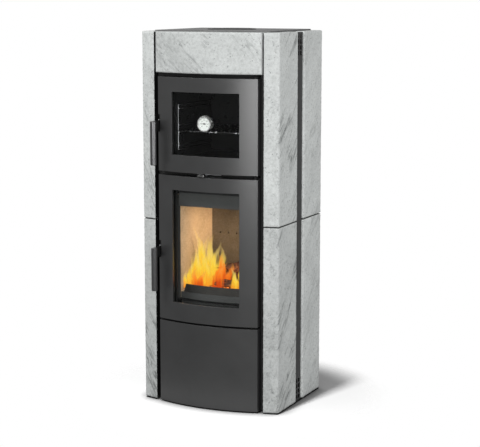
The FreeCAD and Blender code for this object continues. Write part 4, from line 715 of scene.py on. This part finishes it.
def rough_stone(name):
    """A cladding stone: its sawn faces are a little uneven and its edges chipped."""
    block = frame["nodes"][name]
    if name == "rear_stones":
        lower = sawn_course(block, JOINT_HEIGHT - JOINT_GAP, upward=False)
        stone = sawn_course(block, JOINT_HEIGHT + JOINT_GAP)
        lower.select_set(True)
        bpy.ops.object.join()
    else:
        stone = sawn_course(block)
    stone.name = stone.data.name = "rough_" + name
    mark_edges(stone)
    displace(stone, "CLOUDS", FACE_LUMPS, FACE_DEPTH, FACE_LEVEL)
    displace(stone, "CLOUDS", CHIP_SIZE, CHIP_DEPTH, CHIP_LEVEL, "edges")
    bpy.ops.object.shade_smooth_by_angle(angle=SMOOTH_ANGLE)
    stone.data.materials.clear()
    stone.data.materials.append(FINISHES[name])
    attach(stone, "stove")
    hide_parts(name)


def make_stones():
    """All cladding stones in their rough form."""
    for name in STONE_PLACES:
        rough_stone(name)


# The thermometer

NUMBER_RING, NUMBER_SIZE = 0.0138, 0.0046
NUMBER_LIFT, NUMBER_DEPTH = 0.00006, 0.00002
FIRST_NUMBER, NUMBER_STEP = 50, 50


def number(text, place, material):
    """A small printed number that faces the front."""
    bpy.ops.object.select_all(action="DESELECT")
    bpy.ops.object.text_add(location=place, rotation=(UPRIGHT, 0.0, 0.0))
    figure = bpy.context.object
    figure.data.body = text
    figure.data.size = NUMBER_SIZE
    figure.data.align_x = figure.data.align_y = "CENTER"
    figure.data.extrude = NUMBER_DEPTH
    bpy.ops.object.convert(target="MESH")
    settle(figure, "dial_number_" + text, material, "oven_door")


def make_dial_numbers():
    """The numbers round the dial, just before its face."""
    print_ink = ink("dial_ink")
    for step in range(BOLD_STEPS + 1):
        value = FIRST_NUMBER + NUMBER_STEP * step
        angle = SCALE_SWEEP * (step / BOLD_STEPS - 0.5)
        across = DIAL_MIDDLE.x + NUMBER_RING * math.sin(angle)
        up = DIAL_MIDDLE.z + NUMBER_RING * math.cos(angle)
        number(str(value), (across, DIAL_LOW.y - NUMBER_LIFT, up), print_ink)


# The fire

GRATE_LOW, GRATE_HIGH = corners("grate")
GRATE_MIDDLE = (GRATE_LOW + GRATE_HIGH) / 2
GRATE_TOP = GRATE_HIGH.z

FLAME_STRETCH = (115.0, 60.0, 16.0)
TEAR_SIDES, TEAR_HEAT = 1.9, 1.1
FLAME_COLUMNS, FLAME_ROWS = 9, 22
FLAME_BASE, FLAME_BELLY, FLAME_TAPER, FLAME_TIP = 0.70, 0.95, 1.1, 0.02
SWAY_SHARE, SWAY_BENDS, SWAY_DEPTH = 0.24, 5.5, 0.4
LEAN_CURVE = 1.4


def flame_material(name, low, body, tip):
    """Glowing gas: bright along the middle of a tongue, torn and clear towards its sides and tip."""
    material, tree, shader = new_material(name)
    sheet = add(tree, "TexCoord").outputs["UV"]
    across, along = part_of(tree, sheet, X), part_of(tree, sheet, Y)
    side = size_of(tree, math_node(tree, "MULTIPLY_ADD", across, 2.0, -1.0))
    torn = noise(tree, coordinates(tree, scale=FLAME_STRETCH), scale=1.0, detail=4.0, roughness=0.6)
    ragged = math_node(tree, "MULTIPLY_ADD", torn, TEAR_SIDES, -TEAR_SIDES / 2)
    body_mask = ramp(tree, math_node(tree, "ADD", side, ragged), [(0.42, 1.0), (0.98, 0.0)])
    fade = ramp(tree, along, [(0.0, 0.85), (0.45, 0.95), (0.98, 0.0)])
    feed(tree, shader["Alpha"], mix(tree, 1.0, body_mask, fade, "MULTIPLY"))
    uneven = math_node(tree, "MULTIPLY_ADD", torn, TEAR_HEAT, -TEAR_HEAT / 2)
    heat = math_node(tree, "ADD", along, uneven)
    feed(tree, shader["Emission Color"], ramp(tree, heat, [(0.05, low), (0.45, body), (0.95, tip)]))
    shader["Emission Strength"].default_value = 1.0
    shader["Base Color"].default_value = BLACK
    shader["Specular IOR Level"].default_value = 0.0
    return material


def flame(name, foot, height, width, lean, yaw, phase, material):
    """One tongue of flame: an upright sheet, drawn in to a point row by row and swayed to the side."""
    bpy.ops.object.select_all(action="DESELECT")
    middle = Vector(foot) + Vector((0.0, 0.0, height / 2))
    stance = (UPRIGHT, 0.0, math.radians(yaw))
    bpy.ops.mesh.primitive_grid_add(x_subdivisions=FLAME_COLUMNS, y_subdivisions=FLAME_ROWS, size=1.0,
                                    location=middle, rotation=stance)
    tongue = bpy.context.object
    tongue.scale = (width, height, 1.0)
    settle(tongue, name, material)
    half_step = height / FLAME_ROWS / 2
    start_edit(tongue)
    for row in range(FLAME_ROWS + 1):
        share = row / FLAME_ROWS
        level = foot[Z] + height * row / FLAME_ROWS
        pick(tongue, lambda point: abs(point.z - level) < half_step)
        swell = (FLAME_BASE + FLAME_BELLY * share) * (1.0 - share) ** FLAME_TAPER + FLAME_TIP
        centre = (foot[X], foot[Y], level)
        bpy.ops.transform.resize(value=(swell, swell, 1.0), center_override=centre)
        sway = SWAY_SHARE * width * math.sin(SWAY_BENDS * share + phase) * share
        shift = (lean * share ** LEAN_CURVE + sway, SWAY_DEPTH * sway, 0.0)
        bpy.ops.transform.translate(value=shift)
    end_edit()
    tongue.visible_shadow = False


CRACK_GLOW = [(0.0, (1.0, 0.34, 0.04)), (0.06, (0.60, 0.06, 0.005)), (0.16, (0.045, 0.004, 0.0))]
CELL_STRETCH = (0.55, 1.0, 1.0)


def char_material(name, glow, black, ash_grey):
    """Charred wood: ash in patches over dark cells, and an orange glow in some of the cracks."""
    material, tree, shader = new_material(name)
    place = coordinates(tree)
    drawn = mapped(tree, warped(tree, place, scale=45.0, amount=0.022), Scale=CELL_STRETCH)
    voronoi = add(tree, "TexVoronoi", {"Vector": drawn, "Scale": 90.0}, feature="DISTANCE_TO_EDGE")
    cells = voronoi.outputs["Distance"]
    ash = noise(tree, place, scale=60.0, detail=4.0, roughness=0.6)
    feed(tree, shader["Base Color"], ramp(tree, ash, [(0.45, black), (0.72, ash_grey)]))
    feed(tree, shader["Roughness"], ramp(tree, ash, [(0.3, 0.8), (0.7, 0.97)]))
    where = ramp(tree, noise(tree, place, scale=26.0, detail=3.0), [(0.46, 0.04), (0.62, 1.0)])
    hot = mix(tree, 1.0, ramp(tree, cells, CRACK_GLOW), where, "MULTIPLY")
    feed(tree, shader["Emission Color"], hot)
    shader["Emission Strength"].default_value = glow
    feed(tree, shader["Normal"], bump(tree, cells, strength=0.8, distance=0.004))
    return material


LOG_SIDES, LOG_GRAIN = 26, 0.0035
SPLIT_DEPTH, SPLIT_NORMAL = 0.45, (0.0, 0.35, 1.0)
BARK_LUMPS, BARK_DEPTH = 0.03, 0.012
BARK_CELLS, CELL_DEPTH = 0.012, 0.004

# Name, both ends and radius of each log; heights are above the grate
LOGS = [
    ("log_front", (-0.042, -0.070, 0.032), (0.122, -0.062, 0.034), 0.022),
    ("log_rear", (-0.11, 0.012, 0.042), (0.10, 0.03, 0.044), 0.029),
    ("log_across", (-0.055, -0.055, 0.070), (0.085, 0.02, 0.107), 0.024),
]


def log(name, start, end, radius, material):
    """A burning split log: a round billet, split flat on one side, with rough bark and ends."""
    rise = Vector((0.0, 0.0, GRATE_TOP))
    start, end = Vector(start) + rise, Vector(end) + rise
    way = end - start
    middle = (start + end) / 2
    bpy.ops.object.select_all(action="DESELECT")
    bpy.ops.mesh.primitive_cylinder_add(vertices=LOG_SIDES, radius=radius, depth=way.length, location=middle,
                                        rotation=way.to_track_quat("Z", "Y").to_euler())
    billet = bpy.context.object
    settle(billet, name, material)
    start_edit(billet)
    bpy.ops.mesh.select_all(action="SELECT")
    split = middle - Vector((0.0, 0.0, SPLIT_DEPTH * radius))
    bpy.ops.mesh.bisect(plane_co=split, plane_no=SPLIT_NORMAL, clear_inner=True, use_fill=True)
    end_edit()
    remesh(billet, LOG_GRAIN)
    displace(billet, "CLOUDS", BARK_LUMPS, BARK_DEPTH)
    displace(billet, "VORONOI", BARK_CELLS, CELL_DEPTH)
    bpy.ops.object.shade_smooth()


EMBER_RISE = 0.009
EMBER_SIZE, EMBER_COLUMNS, EMBER_ROWS = (0.21, 0.155), 70, 52
HEAP_TOP, HEAP_RISE, HEAP_REACH = 0.012, 0.022, 0.085
EMBER_CELLS, EMBER_CELL_DEPTH, EMBER_LEVEL = 0.016, 0.016, 0.2
EMBER_LUMPS, EMBER_LUMP_DEPTH = 0.02, 0.006


def embers(material):
    """A heap of embers on the grate: a sheet of cells, raised in the middle."""
    bpy.ops.object.select_all(action="DESELECT")
    bed = (GRATE_MIDDLE.x, GRATE_MIDDLE.y, GRATE_TOP + EMBER_RISE)
    bpy.ops.mesh.primitive_grid_add(x_subdivisions=EMBER_COLUMNS, y_subdivisions=EMBER_ROWS, size=1.0,
                                    location=bed)
    heap = bpy.context.object
    heap.scale = (*EMBER_SIZE, 1.0)
    settle(heap, "ember_bed", material)
    start_edit(heap)
    pick(heap, lambda point: (point.xy - GRATE_MIDDLE.xy).length < HEAP_TOP)
    bpy.ops.transform.translate(value=(0.0, 0.0, HEAP_RISE), use_proportional_edit=True,
                                proportional_size=HEAP_REACH, proportional_edit_falloff="SMOOTH")
    end_edit()
    displace(heap, "VORONOI", EMBER_CELLS, EMBER_CELL_DEPTH, EMBER_LEVEL)
    displace(heap, "CLOUDS", EMBER_LUMPS, EMBER_LUMP_DEPTH)


FLAME_RISE = 0.024
LEAST_YAW, YAW_STEP, YAWS = 8, 8, 4
PHASE_STEP = 1.7

# Colours of each kind of flame at its foot, in its body and at its tip
FLAME_COLOURS = {
    "gold": ((1.0, 0.36, 0.02), (1.0, 0.66, 0.05), (1.0, 0.76, 0.25)),
    "amber": ((0.70, 0.07, 0.005), (1.0, 0.22, 0.015), (1.0, 0.45, 0.08)),
}

# Kind, place of the foot in X and Y, height, width and lean of each tongue
TONGUES = [
    ("gold", -0.152, -0.092, 0.080, 0.040, -0.004),
    ("gold", -0.142, -0.075, 0.120, 0.050, 0.004),
    ("gold", -0.124, -0.060, 0.165, 0.062, -0.006),
    ("gold", -0.112, -0.060, 0.229, 0.066, -0.012),
    ("gold", -0.106, -0.085, 0.157, 0.060, 0.006),
    ("gold", -0.094, -0.050, 0.200, 0.074, -0.004),
    ("gold", -0.084, -0.065, 0.190, 0.070, 0.002),
    ("gold", -0.072, -0.095, 0.130, 0.060, 0.000),
    ("gold", -0.066, -0.045, 0.205, 0.070, 0.006),
    ("gold", -0.052, -0.060, 0.180, 0.066, 0.012),
    ("gold", -0.040, -0.050, 0.165, 0.062, 0.016),
    ("gold", -0.138, -0.104, 0.066, 0.044, 0.002),
    ("amber", -0.110, -0.106, 0.080, 0.048, 0.006),
    ("amber", -0.082, -0.108, 0.075, 0.048, 0.006),
    ("amber", -0.034, -0.085, 0.135, 0.060, 0.030),
    ("amber", -0.022, -0.070, 0.150, 0.060, 0.030),
    ("amber", -0.012, -0.095, 0.110, 0.052, 0.026),
    ("amber", 0.004, -0.060, 0.100, 0.052, 0.016),
    ("gold", 0.052, -0.106, 0.092, 0.040, 0.002),
    ("gold", 0.064, -0.110, 0.078, 0.040, 0.004),
    ("gold", 0.066, -0.060, 0.110, 0.050, 0.002),
    ("gold", 0.086, -0.040, 0.120, 0.056, 0.004),
    ("amber", 0.096, -0.050, 0.090, 0.054, 0.004),
    ("gold", -0.134, -0.138, 0.072, 0.030, 0.004),
    ("gold", -0.126, -0.124, 0.105, 0.038, 0.006),
]


def make_fire():
    """Logs and embers on the grate, with tongues of flame over them."""
    char = char_material("charred_wood", glow=0.30, black=(0.060, 0.018, 0.007),
                         ash_grey=(0.20, 0.085, 0.040))
    embers(char_material("glowing_embers", glow=1.6, black=(0.010, 0.008, 0.007),
                         ash_grey=(0.055, 0.045, 0.038)))
    for name, start, end, radius in LOGS:
        log(name, start, end, radius, char)
    gases = {kind: flame_material("flame_" + kind, *colours) for kind, colours in FLAME_COLOURS.items()}
    for count, (kind, x, y, height, width, lean) in enumerate(TONGUES):
        foot = (x, y, GRATE_TOP + FLAME_RISE)
        yaw = LEAST_YAW + YAW_STEP * (count % YAWS)
        flame(f"flame_{count + 1:02d}", foot, height, width, lean, yaw, PHASE_STEP * count, gases[kind])


make_stones()
make_dial_numbers()
make_fire()


# The studio

FLOOR_SIZE = 12.0
FLOOR_FADE_START, FLOOR_FADE_END = 0.42, 0.63
CONTACT_SHADOW_REACH = 0.07
FLOOR_BOUNCE, FLOOR_MIRRORED = grey(0.10), 0.45
SKY_LOW, SKY_HIGH = 0.02, 0.75
HORIZON_GLOW, OVERHEAD_GLOW = 0.25, 0.75


def make_floor():
    """A pale floor that fades into the white of the studio, with a painted contact shadow round the stove;
    mirrors and bounced light see a dimmer one.
    """
    bpy.ops.object.select_all(action="DESELECT")
    bpy.ops.mesh.primitive_plane_add(size=FLOOR_SIZE)
    floor = bpy.context.object
    floor.name = "studio_floor"
    material, tree, shader = new_material("studio_floor")
    place = coordinates(tree)
    tint = ramp(tree, noise(tree, place, scale=0.8), [(0.3, 0.44), (0.7, 0.46)])
    # A painted contact shadow: the floor darkens where the stove stands close over it
    painted_contact_shadow = add(tree, "AmbientOcclusion", {"Distance": CONTACT_SHADOW_REACH}, samples=8).outputs["AO"]
    tint = mix(tree, 1.0, tint, ramp(tree, painted_contact_shadow, [(0.25, 0.10), (0.90, 1.0)]), "MULTIPLY")
    rays = add(tree, "LightPath").outputs
    mirrored = times(tree, rays["Is Glossy Ray"], FLOOR_MIRRORED)
    seen = math_node(tree, "MAXIMUM", rays["Is Camera Ray"], mirrored)
    feed(tree, shader["Base Color"], mix(tree, seen, FLOOR_BOUNCE, tint))
    shader["Roughness"].default_value = 0.9
    shader["Specular IOR Level"].default_value = 0.05
    far = add(tree, "VectorMath", {0: place}, operation="LENGTH").outputs["Value"]
    fade = scaled(tree, far, FLOOR_FADE_START, FLOOR_FADE_END, 1.0, 0.0, "SMOOTHSTEP")
    feed(tree, shader["Alpha"], fade)
    floor.data.materials.append(material)
    return floor


def make_sky():
    """A soft sky: bright overhead, dim round the horizon, plain white behind the stove."""
    world = bpy.data.worlds.new("studio")
    bpy.context.scene.world = world
    world.use_nodes = True
    tree = world.node_tree
    soft = tree.nodes["Background"]
    rise = part_of(tree, add(tree, "TexCoord").outputs["Generated"], Z)
    glow = scaled(tree, rise, SKY_LOW, SKY_HIGH, HORIZON_GLOW, OVERHEAD_GLOW)
    feed(tree, soft.inputs["Strength"], glow)
    soft.inputs["Color"].default_value = WHITE
    white = add(tree, "Background", {"Color": WHITE, "Strength": 1.0}).outputs[0]
    rays = add(tree, "LightPath").outputs
    turns = math_node(tree, "ADD", rays["Diffuse Depth"], rays["Glossy Depth"])
    unturned = math_node(tree, "LESS_THAN", turns, 0.5)
    straight = times(tree, rays["Is Transmission Ray"], unturned)
    seen = math_node(tree, "MAXIMUM", rays["Is Camera Ray"], straight)
    both = add(tree, "MixShader", {0: seen, 1: soft.outputs[0], 2: white}).outputs[0]
    feed(tree, tree.nodes["World Output"].inputs["Surface"], both)


# Place, target, size and power in watts of each lamp
LAMPS = {
    "key": ((-1.9, -2.4, 3.4), (0.0, 0.0, 1.1), (1.6, 1.6), 74.0),
    "front_panel": ((0.80, -2.72, 1.20), (0.1, -0.22, 1.1), (1.15, 1.2), 31.0),
    "right_panel": ((2.75, -0.85, 1.30), (0.1, 0.0, 1.15), (2.0, 1.5), 37.0),
    "floor_light": ((-0.25, -3.20, 3.20), (0.0, 0.0, 0.0), (0.5, 0.5), 480.0),
    "fire_glow": ((0.13, -0.01, 0.58), (-0.14, 0.02, 0.62), (0.16, 0.28), 0.54),
}
FIRE_COLOUR, FIRE_SPREAD = (1.0, 0.66, 0.38), math.radians(100)


def soft_light(name, place, target, size, power):
    """A rectangular lamp, aimed at a target and not seen by the camera."""
    lamp = bpy.data.lights.new(name, "AREA")
    lamp.shape = "RECTANGLE"
    lamp.size, lamp.size_y = size
    lamp.energy = power
    light = bpy.data.objects.new(name, lamp)
    bpy.context.scene.collection.objects.link(light)
    aim = (Vector(target) - Vector(place)).to_track_quat("-Z", "Y")
    light.matrix_world = Matrix.Translation(place) @ aim.to_matrix().to_4x4()
    light.visible_camera = False
    return light


def link_light(light, pieces, state):
    """Keeps the light of a lamp off some pieces, or on those pieces alone."""
    receivers = bpy.data.collections.new(light.name + "_receivers")
    light.light_linking.receiver_collection = receivers
    for piece in pieces:
        receivers.objects.link(piece)
    for member in receivers.collection_objects:
        member.light_linking.link_state = state


def make_lights(floor):
    """Lamps round the stove, one for the floor alone and one in the fire."""
    lights = {name: soft_light(name, *shape) for name, shape in LAMPS.items()}
    panes = [frame["nodes"][name] for name in ("oven_door_glass", "fire_door_glass")]
    link_light(lights["front_panel"], [*panes, floor], "EXCLUDE")
    link_light(lights["key"], [floor], "EXCLUDE")
    link_light(lights["right_panel"], [floor], "EXCLUDE")
    link_light(lights["floor_light"], [floor], "INCLUDE")
    glow = lights["fire_glow"]
    glow.data.color = FIRE_COLOUR
    glow.data.spread = FIRE_SPREAD
    glow.visible_glossy = False
    glow.visible_transmission = False


CAMERA_PLACE = (2.333, -4.834, 1.538)
CAMERA_TILT, CAMERA_TURN = math.radians(90.0 - 9.21), math.radians(25.49)
LENS_LENGTH, SENSOR_WIDTH = 106.6, 36.0


def make_camera():
    """The camera of the photo."""
    lens = bpy.data.cameras.new("camera")
    lens.sensor_width = SENSOR_WIDTH
    lens.lens = LENS_LENGTH
    camera = bpy.data.objects.new("camera", lens)
    bpy.context.scene.collection.objects.link(camera)
    camera.location = CAMERA_PLACE
    camera.rotation_euler = (CAMERA_TILT, 0.0, CAMERA_TURN)
    bpy.context.scene.camera = camera


make_sky()
make_lights(make_floor())
make_camera()
bpy.context.scene.view_settings.view_transform = "Standard"
